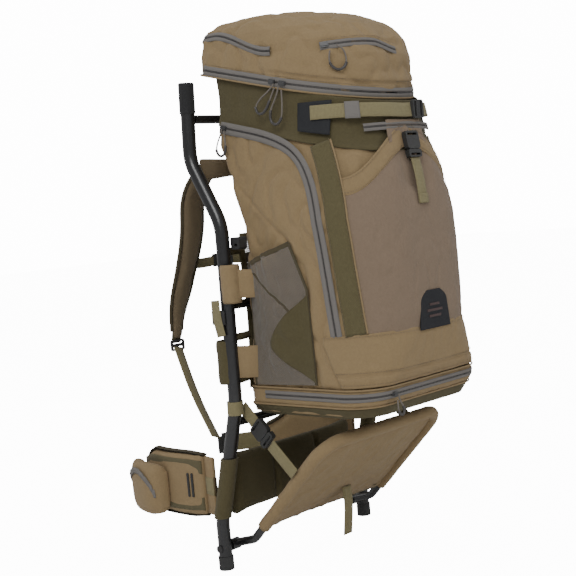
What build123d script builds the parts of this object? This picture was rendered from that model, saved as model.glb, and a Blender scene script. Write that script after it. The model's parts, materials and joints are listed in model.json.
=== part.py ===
"""External-frame hunting pack: a tube frame with a fold-down load shelf, a zipped
bag with a hinged lid, a padded harness and a hip belt.

Frame of the model: the origin lies on the ground midway between the two feet, +Z is
up, +X runs across the pack to the wearer's right and +Y points to the wearer's back.
The bag hangs on the -Y side. Every length is in millimetres.
"""
from build123d import *
import os

os.makedirs("parts", exist_ok=True)

# ---------------------------------------------------------------- driving sizes
UPRIGHT_X = 203.5  # upright centre line, each side of the middle
TUBE_R = 12.7  # upright tube, outer radius
TUBE_WALL = 1.6
FRAME_TOP = 904.0  # top end of the upright tube
WAIST_Y = -64.0  # the uprights' offset towards the bag at the waist
WAIST_Z = 318.0
ELBOW_Y = -69.0  # and below the shoulders
ELBOW_Z = 648.0
HEAD_Y = -3.0  # and at the top
HEAD_Z = 766.0
BAR_R = 8.0  # cross bars
BAR_WALL = 1.5
CAP_WALL = 1.8  # rubber foot and top sleeve

BAG_HALF = 171.0  # half the bag's width at the waist
BAG_TOP_HALF = 153.0  # and at its mouth
BAG_BACK_Y = -79.0  # the bag's back at the waist
BAG_NECK_Y = -18.0  # and at its top, between the uprights
BAG_FRONT_Y = -374.0  # front of the pocket
BAG_MOUTH_Y = -334.0  # front at the mouth
BAG_CORNER_R = 125.0  # rounding of the front corners in plan
BAG_BACK_R = 18.0
BAG_WALL = 5.0  # lined and padded fabric
BASE_Z = 298.0  # underside of the bag
BASE_TOP_Z = 348.0
MOUTH_BACK_Z = 840.0  # seam between bag and collar, at the back
LID_BACK_Z = 925.0  # lid's lower edge, at the back
LID_SLOPE = 0.245  # fall of both edges per unit towards the front
COLLAR_INSET = 5.0
COLLAR_WALL = 4.0

LID_HALF = 156.0
LID_BACK_Y = 9.0
LID_FRONT_Y = -320.0
LID_CORNER_R = 138.0
LID_CROWN_Z = 1018.0

TAPE_W = 22.0  # zipper tape with its flaps
TRIM = 1.6  # how far tapes and strips stand out of the fabric
SKIN_GAP = 0.3  # air between a trim and what it lies on
BODY_GAP = 1.0  # air between pieces that move apart

PIVOT_Z = 42.0  # shelf hinge on the feet
SHELF_X = 172.0  # centre line of the shelf's arms
SHELF_R = 8.0
SHELF_WALL = 1.5
SHELF_TIP_Y = -246.0
SHELF_TIP_Z = 250.0
SHELF_BEND_R = 45.0
PIN_R = 4.0
PIN_FIT = 0.05  # running clearance of the shelf pins

PAD_X = 112.0  # centre line of each shoulder pad
PAD_W = 66.0
PAD_T = 17.0
BELT_T = 22.0
BELT_H = 140.0
BELT_LOW_Z = 88.0
POUCH_T = 44.0

WEB_W = 25.0  # straps
WEB_T = 2.2
CORD_R = 1.5  # pull cords

# --------------------------------------------------------------- working planes
SIDE = Plane.YZ  # profiles drawn as (Y, Z), extruded across the pack
WIDE = 2 * (UPRIGHT_X + 40)
TALL = 1400.0


def finish(piece, label):
    """Name a finished sub-part and write it."""
    piece.part.label = label
    export_step(piece.part, f"parts/{label}.step")


def mouth_z(back_z, y):
    """Height of the sloping edge that starts at back_z, at the depth y."""
    return back_z - LID_SLOPE * (LID_BACK_Y - y)


def ring(outer, inner):
    """A tube's cross-section on the XY plane."""
    with BuildSketch() as section:
        Circle(outer)
        if inner:
            Circle(inner, mode=Mode.SUBTRACT)
    return section.sketch


def along(line, outer, inner=0.0):
    """A round tube or rod swept along a line made of straights and arcs."""
    start = Plane(origin=line @ 0, z_dir=line % 0)
    return sweep(start * ring(outer, inner), path=line, mode=Mode.PRIVATE)


def rounded_plan(height, back, front, half, front_r, back_r):
    """A level outline with its front corners rounded more than its back ones."""
    with BuildSketch(Plane.XY.offset(height), mode=Mode.PRIVATE) as outline:
        with BuildLine():
            Polyline((half, back), (half, front), (-half, front), (-half, back), close=True)
        make_face()
        fillet(outline.vertices().group_by(Axis.Y)[0], front_r)
        fillet(outline.vertices().group_by(Axis.Y)[-1], back_r)
    return outline.sketch


# Height, back, front, half width and front corner rounding, from the base up.
BAG_LEVELS = [
    (BASE_Z, BAG_BACK_Y + 14, BAG_FRONT_Y + 44, BAG_HALF - 8, 62.0),
    (BASE_Z + 24, BAG_BACK_Y + 10, BAG_FRONT_Y + 20, BAG_HALF + 2, 62.0),
    (BASE_TOP_Z, BAG_BACK_Y + 8, BAG_FRONT_Y + 14, BAG_HALF + 2, 66.0),
    (430.0, BAG_BACK_Y, BAG_FRONT_Y, BAG_HALF, BAG_CORNER_R),
    (560.0, BAG_BACK_Y - 4, BAG_FRONT_Y, BAG_HALF, BAG_CORNER_R),
    (640.0, BAG_BACK_Y - 6, BAG_FRONT_Y + 5, BAG_HALF, BAG_CORNER_R),
    (722.0, BAG_NECK_Y - 36, BAG_MOUTH_Y - 24, BAG_TOP_HALF + 12, BAG_CORNER_R + 4),
    (790.0, BAG_NECK_Y - 8, BAG_MOUTH_Y - 9, BAG_TOP_HALF + 6, BAG_CORNER_R + 8),
    (860.0, BAG_NECK_Y, BAG_MOUTH_Y, BAG_TOP_HALF, BAG_CORNER_R + 12),
    (1000.0, BAG_NECK_Y, BAG_MOUTH_Y, BAG_TOP_HALF, BAG_CORNER_R + 12),
]


def drawn_in(height, back, front, side):
    """One level of the lid, drawn in from its edge by the given amounts."""
    corner_r = LID_CORNER_R * (LID_HALF - side) / LID_HALF
    return (height, LID_BACK_Y - back, LID_FRONT_Y + front, LID_HALF - side, corner_r)


LID_LEVELS = [
    drawn_in(LID_BACK_Z - 110, 0, 0, 0),
    drawn_in(LID_BACK_Z, 0, 0, 0),
    drawn_in(LID_CROWN_Z - 62, 2, 10, 2),
    drawn_in(LID_CROWN_Z - 36, 6, 34, 5),
    drawn_in(LID_CROWN_Z - 18, 14, 66, 12),
    drawn_in(LID_CROWN_Z - 6, 30, 100, 26),
    drawn_in(LID_CROWN_Z, 58, 136, 52),
]


def form(levels, inset, bottom_inset=0.0, top_inset=0.0):
    """The closed form through a list of levels, made smaller all round by inset."""
    outlines = []
    for height, back, front, half, corner_r in levels:
        if height == levels[0][0]:
            height += bottom_inset
        if height == levels[-1][0]:
            height -= top_inset
        outlines.append(
            rounded_plan(
                height,
                back - inset,
                front + inset,
                half - inset,
                corner_r - inset,
                BAG_BACK_R - inset,
            )
        )
    with BuildPart(mode=Mode.PRIVATE) as solid:
        loft(outlines, ruled=True)
    return solid.part


def bag_form(inset, bottom_inset=0.0):
    """The bag's outer form up past its mouth, made smaller all round by inset."""
    return form(BAG_LEVELS, inset, bottom_inset)


def lid_form(inset):
    """The lid's outer form from below its edge, made smaller all round by inset."""
    return form(LID_LEVELS, inset, 0, inset)


def corner_point(levels, height, turn):
    """Point on a form's left front corner, turn degrees round from its front."""
    for low, high in zip(levels, levels[1:]):
        if low[0] <= height <= high[0]:
            share = (height - low[0]) / (high[0] - low[0])
            _, _, front, half, corner_r = [a + (b - a) * share for a, b in zip(low, high)]
    spoke = Vector(0, -corner_r, 0).rotate(Axis.Z, -turn)
    return Vector(corner_r - half, front + corner_r, height) + spoke


def corner_plane(levels, height, turn):
    """Plane that lies on that corner, its x up the fabric and its z outwards."""
    origin = corner_point(levels, height, turn)
    uphill = corner_point(levels, height + 1, turn) - origin
    sideways = Vector(1, 0, 0).rotate(Axis.Z, -turn)
    return Plane(origin=origin, x_dir=uphill, z_dir=sideways.cross(uphill))


def slab(y_low, y_high, z_low, z_high, x_low=-WIDE, x_high=WIDE):
    """A plain block, used to cut one region out of a form."""
    size = (x_high - x_low, y_high - y_low, z_high - z_low)
    place = Pos((x_low + x_high) / 2, (y_low + y_high) / 2, (z_low + z_high) / 2)
    return place * Box(*size, mode=Mode.PRIVATE)


def under_mouth(back_z, y_low=-600.0, y_high=200.0):
    """Everything below the sloping edge that starts at back_z."""
    with BuildSketch(SIDE, mode=Mode.PRIVATE) as below:
        with BuildLine():
            Polyline(
                (y_low, 0),
                (y_high, 0),
                (y_high, mouth_z(back_z, y_high)),
                (y_low, mouth_z(back_z, y_low)),
                close=True,
            )
        make_face()
    return extrude(below.sketch, amount=WIDE, both=True, mode=Mode.PRIVATE)


# ------------------------------------------------------------------- tube frame
UPRIGHT_SIDE = [
    (0.0, CAP_WALL + 2),
    (0.0, 95.0),
    (WAIST_Y, WAIST_Z),
    (ELBOW_Y, ELBOW_Z),
    (HEAD_Y, HEAD_Z),
    (HEAD_Y - 7, FRAME_TOP),
]
UPRIGHT_BENDS = [110.0, 150.0, 90.0, 70.0]


def upright_line(x):
    """Centre line of one upright."""
    with BuildLine() as line:
        FilletPolyline(*[(x, y, z) for y, z in UPRIGHT_SIDE], radius=UPRIGHT_BENDS)
    return line.line


def upright_y(z):
    """Depth of the uprights' centre line at a height, bends left out."""
    for (y0, z0), (y1, z1) in zip(UPRIGHT_SIDE, UPRIGHT_SIDE[1:]):
        if z <= z1:
            return y0 + (y1 - y0) * (z - z0) / (z1 - z0)
    return UPRIGHT_SIDE[-1][0]


for side, name in ((-1, "upright_left"), (1, "upright_right")):
    with BuildPart() as upright:
        add(along(upright_line(side * UPRIGHT_X), TUBE_R, TUBE_R - TUBE_WALL))
        with Locations((side * UPRIGHT_X, 0, PIVOT_Z)):
            Cylinder(
                PIN_R,
                4 * TUBE_R,
                rotation=(0, 90, 0),
                mode=Mode.SUBTRACT,
            )
    finish(upright, name)

CROSS_BARS = (284.0, 500.0, 842.0)
bar_reach = UPRIGHT_X - TUBE_R
with BuildPart() as crossbars:
    for height in CROSS_BARS:
        with BuildSketch(Plane.YZ.offset(-bar_reach)):
            with Locations((upright_y(height), height)):
                Circle(BAR_R)
                Circle(BAR_R - BAR_WALL, mode=Mode.SUBTRACT)
        extrude(amount=2 * bar_reach)
finish(crossbars, "crossbars")

with BuildPart() as foot_caps:
    for side in (-1, 1):
        with BuildSketch(Plane.XY):
            with Locations((side * UPRIGHT_X, 0)):
                Circle(TUBE_R + CAP_WALL)
        extrude(amount=26)
        with BuildSketch(Plane.XY.offset(CAP_WALL + 2)):
            with Locations((side * UPRIGHT_X, 0)):
                Circle(TUBE_R)
        extrude(amount=40, mode=Mode.SUBTRACT)
    soles = foot_caps.faces().group_by(Axis.Z)[0]
    fillet(soles.edges(), 1.2)
finish(foot_caps, "foot_caps")

with BuildPart() as top_sleeves:
    for side in (-1, 1):
        line = upright_line(side * UPRIGHT_X)
        head = Plane(origin=line @ 1, z_dir=line % 1)
        with BuildSketch(head.offset(-52)):
            Circle(TUBE_R + CAP_WALL)
        extrude(amount=52 + 4)
        with BuildSketch(head.offset(-52)):
            Circle(TUBE_R)
        extrude(amount=52, mode=Mode.SUBTRACT)
    crowns = top_sleeves.faces().group_by(Axis.Z)[-1]
    fillet(crowns.edges(), 3)
finish(top_sleeves, "top_sleeves")

BRACKET_Z = 612.0
with BuildPart() as bag_brackets:
    for side in (-1, 1):
        inner = BAG_HALF + SKIN_GAP
        front = upright_y(BRACKET_Z) - 18
        with BuildSketch(Plane.YZ.offset(side * inner)):
            with Locations((front, BRACKET_Z)):
                RectangleRounded(24, 22, 5)
            with Locations((front - 2, BRACKET_Z - 3)):
                RectangleRounded(8, 5, 2, mode=Mode.SUBTRACT)
        extrude(amount=side * (UPRIGHT_X - inner - 12))
    with BuildSketch(Plane.XY.offset(BRACKET_Z - 30)):
        for side in (-1, 1):
            with Locations((side * UPRIGHT_X, upright_y(BRACKET_Z))):
                Circle(TUBE_R + 2)
    extrude(amount=60, mode=Mode.SUBTRACT)
finish(bag_brackets, "bag_brackets")

# ------------------------------------------------------------------ load shelf
SHELF_ELBOW = (-50.0, PIVOT_Z + 14)
EAR_X = UPRIGHT_X - TUBE_R - CAP_WALL - SKIN_GAP

with BuildPart() as shelf_bar:
    shelf_points = [
        (-SHELF_X, 4, PIVOT_Z),
        (-SHELF_X, *SHELF_ELBOW),
        (-SHELF_X, SHELF_TIP_Y, SHELF_TIP_Z),
        (SHELF_X, SHELF_TIP_Y, SHELF_TIP_Z),
        (SHELF_X, *SHELF_ELBOW),
        (SHELF_X, 4, PIVOT_Z),
    ]
    with BuildLine() as shelf_line:
        FilletPolyline(*shelf_points, radius=[30, SHELF_BEND_R, SHELF_BEND_R, 30])
    add(along(shelf_line.line, SHELF_R, SHELF_R - SHELF_WALL))
    for side in (-1, 1):
        with BuildSketch(Plane.YZ.offset(side * (SHELF_X - 5))):
            with Locations((2, PIVOT_Z)):
                Circle(11)
        extrude(amount=side * (EAR_X - SHELF_X + 5))
        with Locations((side * SHELF_X, 0, PIVOT_Z)):
            Cylinder(PIN_R + PIN_FIT, 60, rotation=(0, 90, 0), mode=Mode.SUBTRACT)
finish(shelf_bar, "shelf_bar")

with BuildPart() as shelf_pivots:
    for side in (-1, 1):
        head_in = SHELF_X - 9
        with BuildSketch(Plane.YZ.offset(side * head_in)):
            with Locations((0, PIVOT_Z)):
                Circle(PIN_R)
        extrude(amount=side * (UPRIGHT_X + TUBE_R - head_in))
        for start, width in ((head_in - 3, 3), (UPRIGHT_X + TUBE_R, 3)):
            with BuildSketch(Plane.YZ.offset(side * start)):
                with Locations((0, PIVOT_Z)):
                    Circle(7)
            extrude(amount=side * width)
finish(shelf_pivots, "shelf_pivots")

SLEEVE_R = SHELF_R + 3
with BuildPart() as shelf_panel:
    arm_low = (SHELF_ELBOW[0] - 26, SHELF_ELBOW[1] + 26)
    slope_y = SHELF_TIP_Y - arm_low[0]
    slope_z = SHELF_TIP_Z - arm_low[1]
    slope = (slope_y**2 + slope_z**2) ** 0.5
    sheet = Plane(
        origin=(0, arm_low[0], arm_low[1]),
        x_dir=(1, 0, 0),
        z_dir=(0, -slope_z / slope, slope_y / slope),
    )
    with BuildSketch(sheet.offset(-3)) as sheet_outline:
        with Locations((0, -slope / 2 if sheet.y_dir.Y > 0 else slope / 2)):
            Rectangle(2 * SHELF_X, slope)
        tips = sheet_outline.vertices().group_by(Axis.Z)[-1]
        fillet(tips, SHELF_BEND_R)
    extrude(amount=6)
    arm_dir = (0, slope_y / slope, slope_z / slope)
    for side in (-1, 1):
        with BuildSketch(Plane(origin=(side * SHELF_X, *arm_low), z_dir=arm_dir)):
            Circle(SLEEVE_R)
        extrude(amount=slope - SHELF_BEND_R)
    with BuildSketch(Plane.YZ.offset(-SHELF_X + SHELF_BEND_R)):
        with Locations((SHELF_TIP_Y, SHELF_TIP_Z)):
            Circle(SLEEVE_R)
    extrude(amount=2 * (SHELF_X - SHELF_BEND_R))
    add(along(shelf_line.line, SHELF_R + 0.05), mode=Mode.SUBTRACT)
finish(shelf_panel, "shelf_panel")

# ------------------------------------------------------------------ bag and base
POCKET_BACK_Y = BAG_MOUTH_Y + 4  # the pocket hangs in front of this plane
FAR = -600.0
NEAR = 200.0

with BuildPart() as bag_shell:
    add(bag_form(0) & under_mouth(MOUTH_BACK_Z))
    add(slab(FAR, POCKET_BACK_Y, 0, TALL), mode=Mode.SUBTRACT)
    add(slab(FAR, NEAR, 0, BASE_TOP_Z + SKIN_GAP), mode=Mode.SUBTRACT)
    hollow = bag_form(BAG_WALL) - slab(FAR, POCKET_BACK_Y + BAG_WALL, 0, TALL)
    add(hollow - slab(FAR, NEAR, 0, BASE_TOP_Z + BAG_WALL), mode=Mode.SUBTRACT)
finish(bag_shell, "bag_shell")

with BuildPart() as front_pocket:
    add(bag_form(0) & under_mouth(LID_BACK_Z - BODY_GAP))
    add(slab(POCKET_BACK_Y - SKIN_GAP, NEAR, 0, TALL), mode=Mode.SUBTRACT)
    add(slab(FAR, NEAR, 0, BASE_TOP_Z + SKIN_GAP), mode=Mode.SUBTRACT)
finish(front_pocket, "front_pocket")

with BuildPart() as bag_base:
    add(bag_form(0) & slab(FAR, NEAR, 0, BASE_TOP_Z))
    fillet(bag_base.faces().sort_by(Axis.Z)[0].edges(), 7)
finish(bag_base, "bag_base")

with BuildPart() as bag_collar:
    add(bag_form(COLLAR_INSET) & under_mouth(LID_BACK_Z - BODY_GAP))
    add(slab(FAR, POCKET_BACK_Y + SKIN_GAP, 0, TALL), mode=Mode.SUBTRACT)
    add(under_mouth(MOUTH_BACK_Z + SKIN_GAP), mode=Mode.SUBTRACT)
    hollow = bag_form(COLLAR_INSET + COLLAR_WALL)
    add(hollow - slab(FAR, POCKET_BACK_Y + SKIN_GAP + COLLAR_WALL, 0, TALL), mode=Mode.SUBTRACT)
finish(bag_collar, "bag_collar")


def band(points, width, x_from, x_to, radii=0.0):
    """A strip drawn in side view along points, extruded from x_from to x_to."""
    with BuildSketch(Plane.YZ.offset(x_from), mode=Mode.PRIVATE) as strip:
        with BuildLine():
            if radii:
                FilletPolyline(*points, radius=radii)
            else:
                Polyline(*points)
        trace(line_width=width)
    return extrude(strip.sketch, amount=x_to - x_from, mode=Mode.PRIVATE)


def skin(low, high):
    """The layer between two distances outside the bag's form, below the lid."""
    layer = bag_form(-high, -high) - bag_form(-low, -low)
    return layer & under_mouth(LID_BACK_Z - BODY_GAP)


ZIP_PATH = [(-40.0, 824.0), (-189.0, 788.0), (-250.0, 738.0), (-270.0, 620.0), (-288.0, 438.0)]
STRIP_EDGE = [(-274.0, 776.0), (-300.0, 690.0), (-320.0, 440.0)]
cover = skin(SKIN_GAP, SKIN_GAP + TRIM)
for name, points, width, radii in (
    ("side_zippers", ZIP_PATH, TAPE_W, [60, 60, 300]),
    ("corner_strips", STRIP_EDGE, 28.0, [300]),
):
    with BuildPart() as trim:
        for side in (-1, 1):
            add(cover & band(points, width, side * 60, side * WIDE, radii))
    finish(trim, name)

# ------------------------------------------------------------- side mesh pockets
MESH_LOW_Z = BASE_TOP_Z + 4
MESH_TOP_Z = 586.0
MESH_Y = (-242.0, -92.0)
MESH_BULGE = 26.0
MESH_WALL = 2.0
for side, name in ((-1, "mesh_pocket_left"), (1, "mesh_pocket_right")):
    middle = sum(MESH_Y) / 2
    span = MESH_Y[1] - MESH_Y[0]
    inner_x = BAG_HALF - 2
    with BuildPart() as mesh_pocket:
        with BuildSketch(Plane.XY.offset(MESH_LOW_Z)):
            with Locations((side * (inner_x + MESH_BULGE / 2), middle)):
                outline = Rectangle(MESH_BULGE, span)
            far = outline.vertices().group_by(Axis.X)[0 if side < 0 else -1]
            fillet(far, 22)
        extrude(amount=MESH_TOP_Z - MESH_LOW_Z)
        with BuildSketch(Plane.XY.offset(MESH_LOW_Z + MESH_WALL)):
            with Locations((side * (inner_x + (MESH_BULGE - MESH_WALL) / 2), middle)):
                outline = Rectangle(MESH_BULGE - MESH_WALL, span - 2 * MESH_WALL)
            far = outline.vertices().group_by(Axis.X)[0 if side < 0 else -1]
            fillet(far, 20)
        extrude(amount=MESH_TOP_Z, mode=Mode.SUBTRACT)
        with BuildSketch(Plane.YZ.offset(side * inner_x)):
            with BuildLine():
                Polyline(
                    (MESH_Y[1] + 5, 556),
                    (MESH_Y[0] + 20, 604),
                    (MESH_Y[0] - 5, 560),
                    (MESH_Y[0] - 5, 700),
                    (MESH_Y[1] + 5, 700),
                    close=True,
                )
            make_face()
        extrude(amount=side * 60, mode=Mode.SUBTRACT)
        add(bag_form(-SKIN_GAP, -SKIN_GAP), mode=Mode.SUBTRACT)
    finish(mesh_pocket, name)

# ------------------------------------------------------- front panel and its strap
with BuildPart() as label_patch:
    with BuildSketch(Plane.XZ.offset(-BAG_FRONT_Y + SKIN_GAP)):
        with BuildLine():
            Polyline((-44, 436), (44, 436), (34, 500), (-34, 500), close=True)
        make_face()
    extrude(amount=1.5)
finish(label_patch, "label_patch")

# Plane against the front panel: x across, y up along the fabric, z outwards.
FRONT_LEAN = Vector(0, -82, 13).normalized()
CLIP_Z = 752.0
CLIP_Y = BAG_MOUTH_Y - 26.3 + 15 * (CLIP_Z - 722) / 68
front_face = Plane(origin=(0, CLIP_Y, CLIP_Z), x_dir=(1, 0, 0), z_dir=FRONT_LEAN)


def socket_shape(plane):
    """Female half of a side-release buckle, its mouth at y = 0 of the plane."""
    with BuildPart(mode=Mode.PRIVATE) as half:
        with BuildSketch(plane.offset(SKIN_GAP)):
            with Locations((0, 16)):
                RectangleRounded(36, 32, 6)
            with Locations((0, 26)):
                RectangleRounded(27, 4, 1.5, mode=Mode.SUBTRACT)
        extrude(amount=9)
        with BuildSketch(plane.offset(SKIN_GAP + 2)):
            with Locations((0, 9)):
                Rectangle(28, 20)
        extrude(amount=5, mode=Mode.SUBTRACT)
    return half.part


def clip_shape(plane):
    """Male half: a slotted bar outside the mouth and three prongs inside it."""
    with BuildPart(mode=Mode.PRIVATE) as half:
        with BuildSketch(plane.offset(SKIN_GAP)):
            with Locations((0, -8)):
                RectangleRounded(36, 14, 4)
            with Locations((0, -10)):
                RectangleRounded(27, 4, 1.5, mode=Mode.SUBTRACT)
        extrude(amount=9)
        with BuildSketch(plane.offset(SKIN_GAP + 2.5)):
            for x, width in ((-11, 4), (0, 3), (11, 4)):
                with Locations((x, 8)):
                    Rectangle(width, 19)
        extrude(amount=4)
    return half.part


with BuildPart() as front_buckle:
    add(socket_shape(front_face))
finish(front_buckle, "front_buckle")
with BuildPart() as front_clip:
    add(clip_shape(front_face))
finish(front_clip, "front_clip")
with BuildPart() as front_webbing:
    with BuildSketch(front_face.offset(SKIN_GAP + 3)):
        with Locations((0, -50)):
            Rectangle(WEB_W, 69)
    extrude(amount=WEB_T)
    with BuildSketch(front_face.offset(SKIN_GAP + 3 + WEB_T)):
        with Locations((0, -77)):
            Rectangle(WEB_W, 15)
    extrude(amount=WEB_T)
finish(front_webbing, "front_webbing")

# ------------------------------------------------------------- strap round the top
STRAP_Z = 824.0
PATCH_Y = (-286.0, -232.0)
with BuildPart() as strap_patches:
    add(skin(SKIN_GAP, SKIN_GAP + 1.2) & slab(*PATCH_Y, 786, 846))
finish(strap_patches, "strap_patches")
with BuildPart() as compression_strap:
    layer = skin(2 * SKIN_GAP + 1.2, 2 * SKIN_GAP + 1.2 + WEB_T)
    add(layer & slab(FAR, PATCH_Y[1] - 12, STRAP_Z - WEB_W / 2, STRAP_Z + WEB_W / 2))
finish(compression_strap, "compression_strap")
with BuildPart() as compression_buckle:
    front = BAG_MOUTH_Y - 6 - 3 * SKIN_GAP - 1.2 - WEB_T
    with BuildSketch(Plane.XZ.offset(-front)):
        with Locations((36, STRAP_Z)):
            RectangleRounded(30, 33, 5)
        for x in (28, 44):
            with Locations((x, STRAP_Z)):
                RectangleRounded(5, 27, 2, mode=Mode.SUBTRACT)
    extrude(amount=6)
finish(compression_buckle, "compression_buckle")
with BuildPart() as front_zipper:
    add(skin(SKIN_GAP, SKIN_GAP + TRIM) & slab(FAR, BAG_MOUTH_Y + 30, 786, 804, -92, 92))
finish(front_zipper, "front_zipper")
with BuildPart() as base_zipper:
    add(skin(SKIN_GAP, SKIN_GAP + TRIM) & slab(FAR, BAG_BACK_Y - 20, 323, 341))
finish(base_zipper, "base_zipper")


# -------------------------------------------------------------------------- lid
with BuildPart() as lid:
    add(lid_form(0) - under_mouth(LID_BACK_Z))
finish(lid, "lid")
lid_layer = lid_form(-SKIN_GAP - TRIM) - lid_form(-SKIN_GAP)
with BuildPart() as lid_zipper:
    edge = under_mouth(LID_BACK_Z + 19) - under_mouth(LID_BACK_Z + 3)
    add(lid_layer & edge & slab(FAR, LID_BACK_Y - 40, 0, TALL))
finish(lid_zipper, "lid_zipper")
LID_ZIP_Z = LID_CROWN_Z - 78
with BuildPart() as lid_pocket_zipper:
    add(lid_layer & slab(FAR, -200, LID_ZIP_Z - 8, LID_ZIP_Z + 8, -124, 24))
finish(lid_pocket_zipper, "lid_pocket_zipper")

# ------------------------------------------------------------------ shelf straps
STRAP_X = 187.0  # the straps run just inside the uprights
STRAP_START = (upright_y(312) - 2, 312.0)
STRAP_END = (-176.0, 198.0)
strap_run = Vector(0, STRAP_END[0] - STRAP_START[0], STRAP_END[1] - STRAP_START[1])
strap_dir = strap_run.normalized()
BUCKLE_AT = 74.0  # from the upright to the buckle's mouth


def strap_point(distance):
    """A point of the shelf strap in side view."""
    return (
        STRAP_START[0] + strap_dir.Y * distance,
        STRAP_START[1] + strap_dir.Z * distance,
    )


def buckle_plane(side):
    """Plane of one shelf buckle: y up along the strap, z away from the pack."""
    normal = Vector(side, 0, 0)
    up = strap_dir * -1
    origin = (side * (STRAP_X - 5), *strap_point(BUCKLE_AT))
    return Plane(origin=origin, x_dir=up.cross(normal), z_dir=normal)


def strap_length(side, start, end):
    """A flat stretch of shelf strap between two distances from the upright."""
    web_x = side * (STRAP_X - WEB_T / 2)
    points = [strap_point(start), strap_point(end)]
    return band(points, WEB_W, web_x, web_x + side * WEB_T)


with BuildPart() as shelf_straps:
    for side in (-1, 1):
        loop_plane = Plane(
            origin=(side * UPRIGHT_X, upright_y(312), 312),
            z_dir=(0, ELBOW_Y - WAIST_Y, ELBOW_Z - WAIST_Z),
        )
        with BuildSketch(loop_plane.offset(-WEB_W / 2)):
            Circle(TUBE_R + 0.2 + WEB_T)
        extrude(amount=WEB_W)
        add(strap_length(side, 0, BUCKLE_AT - 33))
        add(along(upright_line(side * UPRIGHT_X), TUBE_R + 0.2), mode=Mode.SUBTRACT)
finish(shelf_straps, "shelf_straps")
with BuildPart() as shelf_buckles:
    for side in (-1, 1):
        add(socket_shape(buckle_plane(side)))
finish(shelf_buckles, "shelf_buckles")
with BuildPart() as shelf_clips:
    for side in (-1, 1):
        add(clip_shape(buckle_plane(side)))
finish(shelf_clips, "shelf_clips")
with BuildPart() as shelf_webbing:
    for side in (-1, 1):
        add(strap_length(side, BUCKLE_AT + 20, strap_run.length + 6))
finish(shelf_webbing, "shelf_webbing")

# --------------------------------------------------------------------- harness
with BuildPart() as back_yoke:
    with BuildSketch(Plane.XY.offset(726)):
        with Locations((0, upright_y(750) + 4)):
            RectangleRounded(2 * (UPRIGHT_X - TUBE_R) - 2, 11, 4)
    extrude(amount=52)
finish(back_yoke, "back_yoke")
with BuildPart() as back_mesh:
    with BuildSketch(Plane.XY.offset(340)):
        with Locations((0, upright_y(480) + 12)):
            Rectangle(2 * (UPRIGHT_X - TUBE_R) - 90, 5)
    extrude(amount=280)
finish(back_mesh, "back_mesh")
with BuildPart() as lumbar_pad:
    with BuildSketch(Plane.XY.offset(BELT_LOW_Z + 4)):
        with Locations((0, 4)):
            RectangleRounded(2 * (UPRIGHT_X - TUBE_R) - 20, 26, 10)
    extrude(amount=BELT_H - 12)
    fillet(lumbar_pad.edges().filter_by(GeomType.LINE, reverse=True), 4)
finish(lumbar_pad, "lumbar_pad")

PAD_PATH = [
    (14.0, 757.0),
    (60.0, 748.0),
    (100.0, 700.0),
    (106.0, 630.0),
    (146.0, 540.0),
    (180.0, 470.0),
    (184.0, 422.0),
]
PAD_BENDS = [30, 45, 60, 120, 50]
LOCK_Z = PAD_PATH[-1][1] - 12
LOCK_Y = PAD_PATH[-1][0] + 1
WEBBING_END_Z = 248.0
for side, tag in ((-1, "left"), (1, "right")):
    inner, outer = side * (PAD_X - PAD_W / 2), side * (PAD_X + PAD_W / 2)
    with BuildPart() as shoulder_pad:
        add(band(PAD_PATH, PAD_T, inner, outer, PAD_BENDS))
    finish(shoulder_pad, f"shoulder_pad_{tag}")
    with BuildPart() as ladder_lock:
        with BuildSketch(Plane.XZ.offset(-LOCK_Y)):
            with Locations((side * PAD_X, LOCK_Z)):
                RectangleRounded(34, 22, 4)
            for z in (LOCK_Z - 5, LOCK_Z + 5):
                with Locations((side * PAD_X, z)):
                    Rectangle(27, 4, mode=Mode.SUBTRACT)
        extrude(amount=2.5, both=True)
    finish(ladder_lock, f"ladder_lock_{tag}")
    stern_y = 140.0
    stern_z = 572.0
    with BuildPart() as sternum_half:
        with BuildSketch(Plane.XZ.offset(-stern_y - 9)):
            with Locations((side * 56, stern_z)):
                Rectangle(70, 20)
        extrude(amount=2)
        with BuildSketch(Plane.XZ.offset(-stern_y - 13)):
            with Locations((side * 22, stern_z)):
                RectangleRounded(30, 26, 6)
        extrude(amount=8)
    finish(sternum_half, f"sternum_half_{tag}")

with BuildPart() as harness_webbing:
    for side in (-1, 1):
        end = Vector(side * (UPRIGHT_X - TUBE_R - 16), 28, WEBBING_END_Z)
        start = Vector(side * PAD_X, LOCK_Y - 2, LOCK_Z - 16)
        run = end - start
        across = Vector(1, 0, 0) - run.normalized() * run.normalized().X
        with BuildSketch(Plane(origin=start, x_dir=across, z_dir=run)):
            Rectangle(WEB_W, WEB_T)
        extrude(amount=run.length)
finish(harness_webbing, "harness_webbing")

# --------------------------------------------------------------------- hip belt
WING_PATH = [(198.0, 34.0), (205.0, 90.0), (203.0, 150.0), (186.0, 208.0), (158.0, 244.0)]
POUCH_PATH = [(238.0, 136.0), (234.0, 174.0), (215.0, 216.0), (198.0, 238.0)]


with BuildPart() as belt_sleeves:
    for side in (-1, 1):
        line = upright_line(side * UPRIGHT_X)
        height = slab(-100, 100, BELT_LOW_Z + 12, BELT_LOW_Z + BELT_H - 12)
        add((along(line, TUBE_R + 3.4) & height) - along(line, TUBE_R + 0.2))
finish(belt_sleeves, "belt_sleeves")


def plan_band(points, width, z_low, z_high, radii):
    """A strip drawn from above along points, extruded upwards."""
    with BuildSketch(Plane.XY.offset(z_low), mode=Mode.PRIVATE) as strip:
        with BuildLine():
            FilletPolyline(*points, radius=radii)
        trace(line_width=width)
    return extrude(strip.sketch, amount=z_high - z_low, mode=Mode.PRIVATE)


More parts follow.
